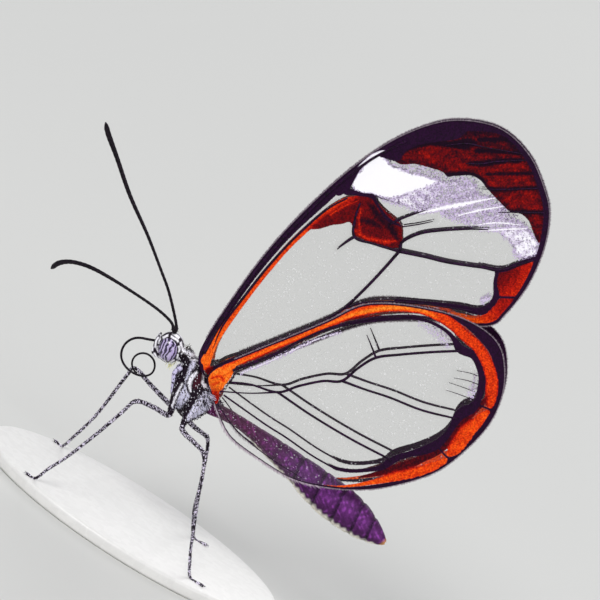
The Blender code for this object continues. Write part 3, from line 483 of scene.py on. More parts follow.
class Shape:
    """Collects vertices, faces and values on vertices, in millimetres, and makes one object of them."""

    def __init__(self):
        self.verts = []
        self.faces = []
        self.values = {}
        self.patches = []
        self.count = 0

    def add(self, verts, faces, patch=None, **values):
        verts = np.asarray(verts, float)
        self.verts.append(verts)
        self.faces += [tuple(i + self.count for i in face) for face in faces]
        self.count += len(verts)
        for name, value in values.items():
            value = np.asarray(value, float)
            shaped = np.broadcast_to(value, (len(verts),) + value.shape[1:] if value.ndim else (len(verts),))
            self.values.setdefault(name, []).append(shaped)
        if patch is not None:
            self.patches.append(np.asarray(patch, float))

    def build(self, name, material, replaces=()):
        verts = np.vstack(self.verts) * MM + HOME
        mesh = bpy.data.meshes.new(name)
        mesh.from_pydata(verts.tolist(), [], self.faces)
        mesh.shade_smooth()
        for key, parts in self.values.items():
            data = np.concatenate(parts)
            if data.ndim > 1:
                layer = mesh.attributes.new(key, "FLOAT_COLOR", "POINT")
                full = np.column_stack([data, np.ones(len(data))])
                layer.data.foreach_set("color", full.astype(np.float32).ravel())
            else:
                layer = mesh.attributes.new(key, "FLOAT", "POINT")
                layer.data.foreach_set("value", data.astype(np.float32))
        if self.patches:
            flat = np.vstack(self.patches)
            corners = np.zeros(len(mesh.loops), np.int32)
            mesh.loops.foreach_get("vertex_index", corners)
            unwrap = mesh.uv_layers.new(name="OFBake")
            unwrap.data.foreach_set("uv", flat[corners].astype(np.float32).ravel())
        mesh.materials.append(material)
        piece = bpy.data.objects.new(name, mesh)
        bpy.context.scene.collection.objects.link(piece)
        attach(piece, "root")
        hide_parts(*replaces)
        return piece


def unit(rows):
    """A direction, or each row of directions, brought to length 1."""
    return rows / np.linalg.norm(rows, axis=-1, keepdims=True)


def frames_along(line):
    """A side and an across direction at each point of a line, turning as little as they can."""
    along = unit(np.gradient(line, axis=0))
    side = np.array(Vector(along[0]).orthogonal().normalized())
    sides = []
    for direction in along:
        side = unit(side - direction * (side @ direction))
        sides.append(side)
    sides = np.array(sides)
    return along, sides, np.cross(along, sides)


def tube_faces(rings, around):
    """The faces between closed rings of points that follow each other."""
    faces = []
    for i in range(rings - 1):
        low = i * around
        for k in range(around):
            nxt = (k + 1) % around
            faces.append((low + k, low + nxt, low + around + nxt, low + around + k))
    return faces


def bar(shape, line, radii, around):
    """A closed round bar; radii is one number or one for each point."""
    line = np.asarray(line, float)
    radii = np.broadcast_to(radii, (len(line),))
    _, sides, across = frames_along(line)
    turn = np.linspace(0, 2 * np.pi, around, endpoint=False)
    rings = (line[:, None] + radii[:, None, None] * (np.cos(turn)[None, :, None] * sides[:, None]
                                                     + np.sin(turn)[None, :, None] * across[:, None]))
    faces = tube_faces(len(line), around)
    first = len(line) * around
    last = (len(line) - 1) * around
    for k in range(around):
        nxt = (k + 1) % around
        faces.append((first, nxt, k))
        faces.append((first + 1, last + k, last + nxt))
    shape.add(np.vstack([rings.reshape(-1, 3), line[:1], line[-1:]]), faces)


def blade(shape, root, along, out, length, width, patch=None, **values):
    """One flat hair or scale: a tapering strip of two steps that bends away from the surface."""
    root = np.asarray(root, float)
    along = unit(np.asarray(along, float))
    out = np.asarray(out, float)
    across = np.cross(along, out)
    across /= max(1e-9, np.linalg.norm(across))
    mid = root + along * length * 0.5 + out * length * 0.10
    tip = root + along * length + out * length * 0.06
    verts = (root - across * width * 0.5, root + across * width * 0.5, mid + across * width * 0.42,
             mid - across * width * 0.42, tip)
    corners = None if patch is None else np.asarray(patch) + BLADE_PATCH
    shape.add(verts, ((0, 1, 2, 3), (3, 2, 4)), patch=corners, **values)


def new_material(name, roughness, specular=0.5, coat=0.0):
    """An empty Principled material with its plain numbers set on the shader."""
    made = bpy.data.materials.new(name)
    made.use_nodes = True
    tree = made.node_tree
    shader = tree.nodes["Principled BSDF"]
    shader.inputs["Roughness"].default_value = roughness
    shader.inputs["Specular IOR Level"].default_value = specular
    shader.inputs["Coat Weight"].default_value = coat
    shader.inputs["Coat Roughness"].default_value = 0.15
    return made, tree, shader


def put(tree, kind, settings=None, **inputs):
    """Adds a node, sets its options and feeds its sockets with numbers or with other sockets."""
    made = tree.nodes.new(kind)
    for key, value in (settings or {}).items():
        setattr(made, key, value)
    for key, value in inputs.items():
        socket = made.inputs[int(key[1:])] if key[0] == "_" and key[1:].isdigit() else made.inputs[key]
        if isinstance(value, bpy.types.NodeSocket):
            tree.links.new(value, socket)
        else:
            socket.default_value = value
    return made


def attribute(tree, name, colour=False):
    found = put(tree, "ShaderNodeAttribute", {"attribute_name": name})
    return found.outputs["Color" if colour else "Fac"]


def blend(tree, mask, under, over):
    """Lays one colour over another through a mask."""
    made = put(tree, "ShaderNodeMix", {"data_type": "RGBA"}, _0=mask, _6=under, _7=over)
    return made.outputs[2]


def maths(tree, operation, *values):
    """What a Math node makes of numbers or other sockets."""
    sockets = {f"_{place}": value for place, value in enumerate(values)}
    return put(tree, "ShaderNodeMath", {"operation": operation}, **sockets).outputs[0]


def scale(tree, value, factor, plus=0.0):
    return maths(tree, "MULTIPLY_ADD", value, factor, plus)


def ranged(tree, value, low, high, kind="SMOOTHSTEP"):
    """Brings a value that runs from low to high to run from 0 to 1."""
    return put(tree, "ShaderNodeMapRange", {"interpolation_type": kind}, _0=value, _1=low, _2=high).outputs[0]


def flecked(tree, colour, mottle, depth, least):
    """Darkens a colour here and there by the mottling of its scales."""
    shade = scale(tree, mottle, depth, least)
    grey = put(tree, "ShaderNodeCombineColor", Red=shade, Green=shade, Blue=shade).outputs["Color"]
    return put(tree, "ShaderNodeMix", {"data_type": "RGBA", "blend_type": "MULTIPLY"}, _0=1.0, _6=colour,
               _7=grey).outputs[2]


def feed(tree, socket, value):
    tree.links.new(value, socket)


def group_sockets(group, taken, given):
    for name, value in taken:
        kind = "NodeSocketColor" if isinstance(value, tuple) else "NodeSocketFloat"
        socket = group.interface.new_socket(name=name, in_out="INPUT", socket_type=kind)
        socket.default_value = value
    for name, kind in given:
        group.interface.new_socket(name=name, in_out="OUTPUT", socket_type=kind)


def make_scale_grain():
    """Tiny overlapping scales: a mottling between 0 and 1, one value for each scale, and a relief height."""
    group = bpy.data.node_groups.new("scale grain", "ShaderNodeTree")
    group_sockets(group, [("Size", 0.09)], [("Mottle", "NodeSocketFloat"), ("Single", "NodeSocketFloat"),
                                            ("Height", "NodeSocketFloat")])
    taken = group.nodes.new("NodeGroupInput")
    given = group.nodes.new("NodeGroupOutput")
    place = put(group, "ShaderNodeTexCoord").outputs["Object"]
    count = maths(group, "DIVIDE", 1.0 / MM, taken.outputs["Size"])
    cells = put(group, "ShaderNodeTexVoronoi", {"feature": "F1"}, Vector=place, Scale=count, Randomness=0.85)
    shade = put(group, "ShaderNodeSeparateColor", Color=cells.outputs["Color"])
    coarse = put(group, "ShaderNodeTexNoise", Vector=place, Scale=CLOUD_NOISE, Detail=3.0, Roughness=0.6)
    both = scale(group, shade.outputs[0], 0.6, scale(group, coarse.outputs["Fac"], 0.4))
    feed(group, given.inputs["Mottle"], both)
    feed(group, given.inputs["Single"], shade.outputs[1])
    feed(group, given.inputs["Height"], maths(group, "SUBTRACT", 1.0, cells.outputs["Distance"]))
    return group


def make_mark_edge():
    """Turns a depth inside a marking, in millimetres, into a mask with a ragged scaly edge."""
    group = bpy.data.node_groups.new("mark edge", "ShaderNodeTree")
    group_sockets(group, [("Depth", 0.0), ("Rag", 0.08), ("Blur", 0.03)], [("Mask", "NodeSocketFloat")])
    taken = group.nodes.new("NodeGroupInput")
    given = group.nodes.new("NodeGroupOutput")
    place = put(group, "ShaderNodeTexCoord").outputs["Object"]
    ragged = put(group, "ShaderNodeTexNoise", Vector=place, Scale=RAGGED_NOISE, Detail=2.0, Roughness=0.7)
    shift = maths(group, "SUBTRACT", ragged.outputs["Fac"], 0.5)
    moved = scale(group, shift, taken.outputs["Rag"], taken.outputs["Depth"])
    low = maths(group, "MULTIPLY", taken.outputs["Blur"], -1.0)
    feed(group, given.inputs["Mask"], ranged(group, moved, low, taken.outputs["Blur"]))
    return group


SCALE_GRAIN = make_scale_grain()
MARK_EDGE = make_mark_edge()


def grain(tree, size):
    return put(tree, "ShaderNodeGroup", {"node_tree": SCALE_GRAIN}, Size=size)


def mark(tree, name):
    made = put(tree, "ShaderNodeGroup", {"node_tree": MARK_EDGE}, Depth=attribute(tree, name), Rag=MARK_RAG,
               Blur=MARK_BLUR)
    return made.outputs["Mask"]


def relief(tree, shader, height, depth, strength=0.6):
    made = put(tree, "ShaderNodeBump", Height=height, Strength=strength, Distance=depth * MM)
    feed(tree, shader.inputs["Normal"], made.outputs["Normal"])


BLACK = (0.006, 0.002, 0.007, 1.0)
PURPLE_BLACK = (0.026, 0.003, 0.032, 1.0)
CLEAR = (0.19, 0.19, 0.17, 1.0)
HAZE = (0.26, 0.18, 0.33, 1.0)
LILAC = (0.55, 0.45, 0.66, 1.0)
WHITE = (0.95, 0.93, 0.97, 1.0)
EYE_VIOLET = (0.34, 0.22, 0.56, 1.0)
EYE_GREY = (0.66, 0.62, 0.74, 1.0)
EYE_DARK = (0.016, 0.006, 0.045, 1.0)
LIMB_DARK = (0.008, 0.003, 0.010, 1.0)
LIMB_PALE = (0.72, 0.66, 0.80, 1.0)
BREAST_DARK = (0.03, 0.02, 0.05, 1.0)
BREAST_PALE = (0.60, 0.56, 0.78, 1.0)
FEELER_BLACK = (0.003, 0.002, 0.004, 1.0)
FEELER_DUSK = (0.014, 0.008, 0.015, 1.0)
PLATE_GREY = (0.74, 0.73, 0.71, 1.0)
PLATE_PALE = (0.78, 0.77, 0.75, 1.0)
RED_TONES = ((0.0, (0.010, 0.001, 0.009, 1.0)),
             (0.16, (0.045, 0.001, 0.006, 1.0)),
             (0.35, (0.19, 0.002, 0.003, 1.0)),
             (0.5, (0.47, 0.009, 0.002, 1.0)),
             (0.64, (0.82, 0.045, 0.003, 1.0)),
             (0.8, (1.0, 0.14, 0.006, 1.0)),
             (1.0, (1.0, 0.32, 0.03, 1.0)))


def wing_material():
    """Clear skin with scaled markings laid over it: a pale haze, reds, and blacks."""
    made, tree, shader = new_material("wing membrane", 0.32, 0.08)
    scales = grain(tree, WING_SCALE)
    mottle = scales.outputs["Mottle"]
    single = scales.outputs["Single"]
    red = mark(tree, "red")
    dark = mark(tree, "dark")
    pale = attribute(tree, "pale")
    white = ranged(tree, maths(tree, "SUBTRACT", pale, single), -0.02, 0.12)
    haze = ranged(tree, pale, 0.15, 0.60, "LINEAR")
    bright = ranged(tree, pale, 0.55, 1.0, "LINEAR")
    specks = ranged(tree, single, 0.965, 0.985, "LINEAR")
    tone = scale(tree, mottle, 0.16, scale(tree, attribute(tree, "tone"), 1.0, -0.08))
    ramp = put(tree, "ShaderNodeValToRGB", Fac=tone)
    stops = ramp.color_ramp.elements
    stops[0].color = RED_TONES[0][1]
    stops[1].color = RED_TONES[-1][1]
    for place, colour in RED_TONES[1:-1]:
        stops.new(place).color = colour
    base = blend(tree, specks, blend(tree, haze, CLEAR, HAZE), WHITE)
    base = blend(tree, white, base, blend(tree, bright, LILAC, WHITE))
    base = blend(tree, red, base, flecked(tree, ramp.outputs["Color"], mottle, 0.8, 0.48))
    base = blend(tree, dark, base, blend(tree, mottle, BLACK, PURPLE_BLACK))
    feed(tree, shader.inputs["Base Color"], base)
    cover = scale(tree, haze, 0.30, attribute(tree, "film"))
    cover = scale(tree, specks, 0.22, cover)
    for layer in (white, red, dark):
        cover = maths(tree, "MAXIMUM", cover, layer)
    feed(tree, shader.inputs["Alpha"], cover)
    feed(tree, shader.inputs["Roughness"], scale(tree, maths(tree, "MAXIMUM", red, dark), 0.25, 0.28))
    relief(tree, shader, scales.outputs["Height"], 0.010, 0.45)
    return made


def plain_scaled(name, under, over, size, roughness, specular=0.5, low=0.45, high=0.6, depth=0.015):
    """A scaled hide of two colours that change from scale to scale."""
    made, tree, shader = new_material(name, roughness, specular)
    scales = grain(tree, size)
    mask = ranged(tree, scales.outputs["Mottle"], low, high)
    feed(tree, shader.inputs["Base Color"], blend(tree, mask, under, over))
    relief(tree, shader, scales.outputs["Height"], depth)
    return made


def painted_scaled(name, size, roughness, specular, depth, fleck):
    """Scales over colours that the mesh carries."""
    made, tree, shader = new_material(name, roughness, specular)
    scales = grain(tree, size)
    paint = attribute(tree, "paint", colour=True)
    colour = flecked(tree, paint, scales.outputs["Mottle"], fleck, 1.0 - fleck * 0.5)
    feed(tree, shader.inputs["Base Color"], colour)
    relief(tree, shader, scales.outputs["Height"], depth)
    return made


def eye_material():
    """Lilac grey eye with steep dark stripes and a hard clear surface of tiny facets."""
    made, tree, shader = new_material("striped eye", 0.25, 0.5, 0.6)
    place = put(tree, "ShaderNodeTexCoord").outputs["Object"]
    axes = put(tree, "ShaderNodeSeparateXYZ", Vector=place)
    along = scale(tree, axes.outputs["Z"], STRIPE_LEAN, axes.outputs["X"])
    wander = put(tree, "ShaderNodeTexNoise", Vector=place, Scale=STRIPE_NOISE, Detail=2.0).outputs["Fac"]
    bent = scale(tree, wander, STRIPE_BEND * MM, along)
    stripes = maths(tree, "SINE", maths(tree, "MULTIPLY", bent, 2 * math.pi / (STRIPE_STEP * MM)))
    pale = blend(tree, wander, EYE_VIOLET, EYE_GREY)
    feed(tree, shader.inputs["Base Color"], blend(tree, ranged(tree, stripes, -0.08, 0.50), EYE_DARK, pale))
    facets = put(tree, "ShaderNodeTexVoronoi", {"feature": "F1"}, Vector=place, Scale=FACET_COUNT,
                 Randomness=0.2)
    relief(tree, shader, facets.outputs["Distance"], 0.006, 0.3)
    return made


def fore_gap(spots):
    """How far from the middle plane the wings stand; their roots spread to clear the trunk."""
    return FORE_IN + ROOT_OUT * dome(spots, ROOT, ROOT_REACH)


def hind_gap(spots):
    return fore_gap(spots) - HIND_DIP * dome(spots, HIND_DIP_AT, HIND_DIP_REACH)


def sheet(edge, lines, fine):
    """Points and triangles of a wing: its outline, its veins, the middles and sides of fine marks, a grid."""
    ring = smooth_line(edge, EDGE_STEP, closed=True)
    rail = np.vstack([ring, ring[:1]])
    low = ring[:, :2].min(0)
    high = ring[:, :2].max(0)
    rows = []
    for j, z in enumerate(np.arange(low[1], high[1], GRID * ROW_SHARE)):
        row = np.arange(low[0] + (j % 2) * GRID / 2, high[0], GRID)
        rows.append(np.column_stack([row, np.full(len(row), z)]))
    grid = np.vstack(rows)
    grid = grid[inside(grid, ring[:, :2])]
    middles = [smooth_line(points, MIDDLE_STEP)[:, :2] for points in lines]
    for points in fine:
        line = smooth_line(points, STROKE_STEP)
        ahead = unit(np.gradient(line[:, :2], axis=0))
        side = np.column_stack([-ahead[:, 1], ahead[:, 0]]) * np.maximum(line[:, 2:], 0.04)
        middles += [line[:, :2], line[:, :2] + side, line[:, :2] - side]
    kept = nearest(grid, rail)[0] > RIM_CLEAR
    for middle in middles:
        kept &= nearest(grid, middle)[0] > LINE_CLEAR
    extra = []
    for middle in middles:
        clear = (nearest(middle, rail)[0] > END_CLEAR) & inside(middle, ring[:, :2])
        extra.append(middle[clear])
    spots = np.vstack([ring[:, :2], grid[kept]] + extra)
    found = delaunay_2d_cdt([Vector(p) for p in spots], [], [tuple(range(len(ring)))], 1, 1e-5)
    return np.array([tuple(v) for v in found[0]]), found[2], ring


def tones(parts):
    """Mixes the tone of several red markings by how deep inside each one a spot lies."""
    weights = [np.exp(np.clip(depth, -2.0, 0.6) / 0.12) for depth, _ in parts]
    total = sum(weights)
    return sum(w * tone for w, (_, tone) in zip(weights, parts)) / total


def mottling(spots, size):
    """Soft irregular patches between about -1 and 1."""
    x, z = spots.T / size
    return (np.sin(x * 2.1 + 1.7 * np.sin(z * 1.3)) * np.sin(z * 2.3 + 1.9 * np.sin(x * 0.9 + 1.0))
            + 0.5 * np.sin(x * 4.7 + z * 3.1 + 2.0 * np.sin(z * 2.2))) / 1.5


def streaking(spots, size):
    """The same, drawn out along the veins of the wing tip."""
    along = spots[:, 0] * math.cos(RAY_TILT) + spots[:, 1] * math.sin(RAY_TILT)
    across = spots[:, 1] * math.cos(RAY_TILT) - spots[:, 0] * math.sin(RAY_TILT)
    return mottling(np.column_stack([along / STREAK_DRAW, across]), size)


def fore_marks(spots, ring):
    """How deep each spot of the forewing lies in red and dark marks, its tone of red, and how pale it is."""
    rim, width = nearest(spots, np.vstack([ring, ring[:1]]))
    x, z = spots.T
    cloud = mottling(spots, 0.30)
    streak = streaking(spots, 0.14)
    root = stroke(spots, FORE_ROOT)
    stripe = stroke(spots, FORE_STRIPE)
    apex = area(spots, APEX)
    tornus = stroke(spots, TORNUS)
    stripe_tone = 0.60 + 0.12 * rise(z, 21.0, -7.0) + 0.08 * hump(stripe, 0.12, 0.06) + 0.04 * streak
    bright = np.maximum(fade(stroke(spots, CELL_EDGE), 0.08), fade(deepest(spots, CELL_LINES), 0.06))
    cell_tone = 0.26 + 0.07 * cloud - 0.22 * fade(deepest(spots, CELL_SHADE), 0.25) + 0.30 * bright
    apex_tone = (0.292 + 0.10 * dome(spots, (12.4, 36.2), 0.9) + 0.05 * cloud + 0.15 * streak
                 - 0.36 * fade(deepest(spots, APEX_RAYS) + 0.05, 0.14) - 0.16 * rise(apex, 0.5, -0.5)
                 - 0.14 * rise(z - x * 0.62, 27.2, 2.2))
    outer_tone = 0.24 + 0.27 * rise(x, 21.9, 1.5) + 0.05 * cloud + 0.10 * rise(z, 30.7, -0.9)
    tornus_tone = 0.40 + 0.15 * rise(z, 29.5, -1.5) + 0.18 * rise(z, 28.0, -1.0) + 0.05 * cloud
    reds = [(stripe, stripe_tone), (root, 0.80 + 0.08 * cloud), (area(spots, CELL_PATCH), cell_tone),
            (apex, apex_tone), (area(spots, OUTER_RED), outer_tone), (tornus, tornus_tone),
            (stroke(spots, MARGIN_BAND), 0.24 + 0.08 * cloud)]
    strokes = CELL_BLACK + PATCH_BLACK + (TORNUS_DARK, TORNUS_LINE, TORNUS_GAP)
    dark = np.max([width - rim, deepest(spots, strokes), area(spots, TIP_SHOULDER) + 0.06 * streak], axis=0)
    dark = np.minimum(dark, -1.5 * stroke(spots, COSTAL_WHITE))
    dark = np.minimum(dark, np.maximum(-root, -stripe) * 2)
    over_tornus = np.max([stroke(spots, TORNUS_GAP), -tornus, 0.85 * width - rim], axis=0)
    dark = np.where(tornus > 0, np.minimum(dark, over_tornus), dark)
    pale = strongest((
        (1.20, area(spots, WHITE_PATCH) + 0.10 * streak, 0.34),
        (1.15, stroke(spots, COSTAL_WHITE), 0.10),
        (0.52 + 0.34 * streak + 0.36 * rise(x, 14.8, -2.4), area(spots, HAZE_HIGH), 0.5),
        (0.50 + 0.38 * streak, area(spots, HAZE_LOW), 0.6),
        (0.34 + 0.10 * streak, area(spots, HAZE_TOP), 0.4),
        (0.80 + 0.30 * streak, area(spots, END_SPOT), 0.5),
        (0.88 + 0.34 * streak, area(spots, END_SPOT_CORE), 0.45),
        (0.62, stroke(spots, TORNUS_SPOT), 0.2),
        (0.95, deepest(spots, MARGIN_STREAKS), 0.06),
        (1.15, deepest(spots, BAND_RAYS), 0.08),
    ))
    red = np.max([depth for depth, _ in reds], axis=0)
    return {"red": red, "tone": tones(reds), "dark": dark, "pale": pale}


def hind_marks(spots, ring):
    """The same for the hindwing."""
    rim, width = nearest(spots, np.vstack([ring, ring[:1]]))
    x = spots[:, 0]
    cloud = mottling(spots, 0.22)
    costal = stroke(spots, HIND_COSTAL)
    costal_tone = (0.68 - 0.06 * rise(x, 9.0, 13.0) + 0.26 * fade(stroke(spots, HIND_CORE), 0.16)
                   + 0.05 * cloud - 0.24 * rise(costal, 0.13, -0.13))
    orange = 0.66 + 0.09 * cloud
    root_tone = 0.84 + 0.12 * cloud - 0.30 * fade(deepest(spots, HIND_ROOT_RED), 0.10)
    reds = [(costal, costal_tone), (stroke(spots, HIND_OUTER_LOW), orange),
            (stroke(spots, HIND_LOWER), orange + 0.05 * rise(x, 24.5, -3.0)),
            (area(spots, HIND_ROOT), root_tone), (area(spots, HIND_ROOT_LOW), 0.46 + 0.08 * cloud),
            (stroke(spots, HIND_MAROON), 0.22)]
    bright = np.max([depth for depth, _ in reds], axis=0)
    dark = np.maximum(width - rim, stroke(spots, HIND_UNDER))
    dark = np.minimum(dark, np.where(bright > 0, 0.02 - bright, 9.0))
    shadow = stroke(spots, HIND_SHADOW)
    reds.append((shadow, 0.17 + 0.07 * cloud))
    lines = deepest(spots, HIND_GAPS + (HIND_ROOT_EDGE,))
    dark = np.max([dark, lines, np.minimum(width - rim, 0.15 - rim)], axis=0)
    pale = strongest(((0.95, stroke(spots, HIND_PALE), 0.06), (0.50, deepest(spots, HIND_HAZE), 0.5)))
    return {"red": np.maximum(bright, shadow), "tone": tones(reds), "dark": dark, "pale": pale}


def make_wing(which, edge, veins, gap_of, lift, marks_of, fine):
    """One wing of each side: the membrane, its raised veins and the fringe of its margin."""
    spots, triangles, ring = sheet(edge, veins.values(), fine)
    lines = [smooth_line(points, VEIN_STEP) for points in veins.values()]
    marks = marks_of(spots, ring)
    reach = np.min([nearest(spots, line)[0] for line in lines], axis=0)
    sag = PLEAT * (1 - hump(reach, 0.0, PLEAT_REACH))
    marks["film"] = FILM + FILM_AT_VEIN * hump(reach, 0.0, FILM_REACH)
    corner = ring[:, :2].min(0)
    unwrap = (spots - corner) / (ring[:, :2].max(0) - corner).max()
    for word, side in SIDES:
        depth = side * (gap_of(spots) + lift - sag)
        membrane = Shape()
        faces = triangles if side < 0 else [tuple(reversed(face)) for face in triangles]
        membrane.add(np.column_stack([spots[:, 0], depth, spots[:, 1]]), faces, patch=unwrap, **marks)
        membrane.build(f"{which}wing_{word}_membrane", WING, [f"{which}wing_{word}"])
        ridges = Shape()
        for line in lines:
            across = side * (gap_of(line[:, :2]) + lift)
            bar(ridges, np.column_stack([line[:, 0], across, line[:, 1]]), line[:, 2], 8)
        ridges.build(f"{which}wing_{word}_veins", VEIN)
        make_fringe(f"{which}wing_{word}_fringe", ring, gap_of, lift, side)


def make_fringe(name, ring, gap_of, lift, side):
    """Short scales that stand out all round the margin, and longer hair on the inner edge."""
    shape = Shape()
    rail = smooth_line(ring, FRINGE_STEP, closed=True)
    ahead = np.roll(rail[:, :2], -1, axis=0) - np.roll(rail[:, :2], 1, axis=0)
    out = unit(np.column_stack([ahead[:, 1], -ahead[:, 0]]))
    if np.mean(np.sum(out * (rail[:, :2] - rail[:, :2].mean(0)), axis=1)) < 0:
        out = -out
    gaps = gap_of(rail[:, :2]) + lift
    lean = chance.normal(0, 0.22, len(rail))
    for (x, z), gap, away, tilt in zip(rail[:, :2], gaps, out, lean):
        if x < BARE_ROOT[0] and z < BARE_ROOT[1]:
            continue
        inner_edge = z < INNER_TOP and INNER_SPAN[0] < x < INNER_SPAN[1]
        sideways = np.array([-away[1], away[0]])
        length = chance.uniform(0.20, 0.42) if inner_edge else chance.uniform(0.09, 0.17)
        colour = FRINGE_TINT * (0.75 if inner_edge else 0.42) * chance.uniform(0.5, 1.2)
        aim = away + tilt * sideways
        if inner_edge:
            aim = aim + 1.3 * sideways
        root = (x - away[0] * 0.03, side * gap, z - away[1] * 0.03)
        along = (aim[0], chance.normal(0, 0.12), aim[1])
        blade(shape, root, along, (0, side, 0), length, 0.035 if inner_edge else 0.05,
              patch=(x / UNWRAP_WIDTH, z / UNWRAP_WIDTH), paint=colour[None, :])
    shape.build(name, HAIR)


def egg(centre, size, lean, across=48, around=32):
    """An ellipsoid whose long axis leans forward."""
    u = np.linspace(0, 2 * np.pi, across, endpoint=False)
    v = np.linspace(0, np.pi, around + 1)[1:-1]
    ring = np.array([(np.sin(b) * np.cos(a), np.sin(b) * np.sin(a), np.cos(b)) for b in v for a in u])
    verts = np.vstack([ring, [(0, 0, 1), (0, 0, -1)]]) * np.array(size)
    turn = np.array(Matrix.Rotation(-math.radians(lean), 3, "Y"))
    faces = [(a, d, c, b) for a, b, c, d in tube_faces(around - 1, across)]
    top = (around - 1) * across
    last = (around - 2) * across
    for k in range(across):
        nxt = (k + 1) % across
        faces.append((top, k, nxt))
        faces.append((top + 1, last + nxt, last + k))
    return verts @ turn.T + np.array(centre), faces


def remesh(shape, voxel, rounds):
    """Fuses overlapping closed shapes into one even skin and smooths it."""
    mesh = bpy.data.meshes.new("skin_source")
    mesh.from_pydata(np.vstack(shape.verts).tolist(), [], shape.faces)
    source = bpy.data.objects.new("skin_source", mesh)
    bpy.context.scene.collection.objects.link(source)
    fused = source.modifiers.new("fuse", "REMESH")
    fused.mode = "VOXEL"
    fused.voxel_size = voxel
    calm = source.modifiers.new("calm", "SMOOTH")
    calm.factor = 0.5
    calm.iterations = rounds
    bpy.context.view_layer.update()
    done = source.evaluated_get(bpy.context.evaluated_depsgraph_get()).to_mesh()
    verts = np.array([v.co for v in done.vertices])
    faces = [tuple(p.vertices) for p in done.polygons]
    normals = np.array([n.vector for n in done.vertex_normals])
    bpy.data.objects.remove(source, do_unlink=True)
    return verts, faces, normals


def eye_reach(points):
    """Distance from the middle of the near eye, where 1 is the eye's rim, seen from the side."""
    turn = math.radians(EYE_LEAN)
    dx = points[:, 0] - EYE_AT[0]
    dz = points[:, 2] - EYE_AT[2]
    along = -dx * math.sin(turn) + dz * math.cos(turn)
    across = dx * math.cos(turn) + dz * math.sin(turn)
    return np.hypot(across / EYE_SIZE[0], along / EYE_SIZE[2])


SKIN_DARK = np.array([0.010, 0.004, 0.011])
SKIN_WHITE = np.array([0.90, 0.88, 0.95])
SKIN_LILAC = np.array([0.50, 0.48, 0.74])
SKIN_MAROON = np.array([0.045, 0.003, 0.012])
SKIN_PURPLE = np.array([0.028, 0.003, 0.028])
# Violet of the painted highlight on the hind body
HIGHLIGHT_VIOLET = np.array([0.150, 0.028, 0.195])
SKIN_PLUM = np.array([0.030, 0.001, 0.017])
# Magenta of the painted highlight near the waist
HIGHLIGHT_MAGENTA = np.array([0.160, 0.016, 0.120])
SKIN_CREAM = np.array([0.84, 0.80, 0.70])
SKIN_BROWN = np.array([0.10, 0.06, 0.02])
SKIN_PINK = np.array([0.42, 0.20, 0.45])
SKIN_TIP = np.array([0.55, 0.25, 0.08])

FLANK_LILAC = ((5.85, 12.95), (6.10, 11.95), (6.42, 11.0), (6.52, 10.1), (6.75, 9.25), (7.0, 9.3),
               (7.15, 10.0), (7.20, 10.65), (6.90, 10.85), (6.45, 11.25), (6.30, 11.9), (6.30, 12.6),
               (6.2, 12.95))
FLANK_REAR = ((8.15, 12.0), (7.85, 11.25), (7.82, 10.45), (7.84, 9.5), (7.96, 9.1), (8.3, 9.2),
              (8.65, 9.95), (8.90, 10.4), (8.80, 11.1))
FLANK_STROKES = (
    ((6.66, 12.4, 0.09), (6.55, 11.9, 0.16), (6.68, 11.45, 0.14), (7.05, 11.0, 0.06)),
    ((7.05, 13.1, 0.12), (7.12, 12.65, 0.12), (7.38, 12.1, 0.10), (7.75, 11.9, 0.12)),
    ((4.98, 13.16, 0.14), (5.38, 13.26, 0.13)),
    ((5.56, 13.26, 0.10), (5.95, 13.32, 0.12), (6.35, 13.38, 0.08)),
    ((5.75, 12.95, 0.04), (6.20, 13.10, 0.05)),
    ((5.40, 12.3, 0.08), (5.30, 11.4, 0.10), (5.62, 10.4, 0.08)),
    ((6.20, 11.2, 0.05), (6.30, 10.2, 0.07), (6.48, 9.3, 0.05)),
)
FLANK_MAROON = ((7.02, 12.5, 0.14), (7.08, 11.95, 0.28), (7.15, 11.5, 0.18))
FLANK_LINES = (
    ((6.28, 12.5, 0.03), (6.36, 11.9, 0.04), (6.50, 11.35, 0.04), (6.95, 10.85, 0.03)),
    ((7.95, 11.6, 0.03), (8.25, 10.9, 0.05), (8.50, 10.5, 0.03)),
)

# White rings round the eye: inner and outer reach, how often each is broken, and where
HEAD_RINGS = ((1.09, 1.23, 8, 0.6), (1.35, 1.51, 7, 2.1), (1.63, 1.79, 8, 4.0), (1.91, 2.06, 8, 5.2))


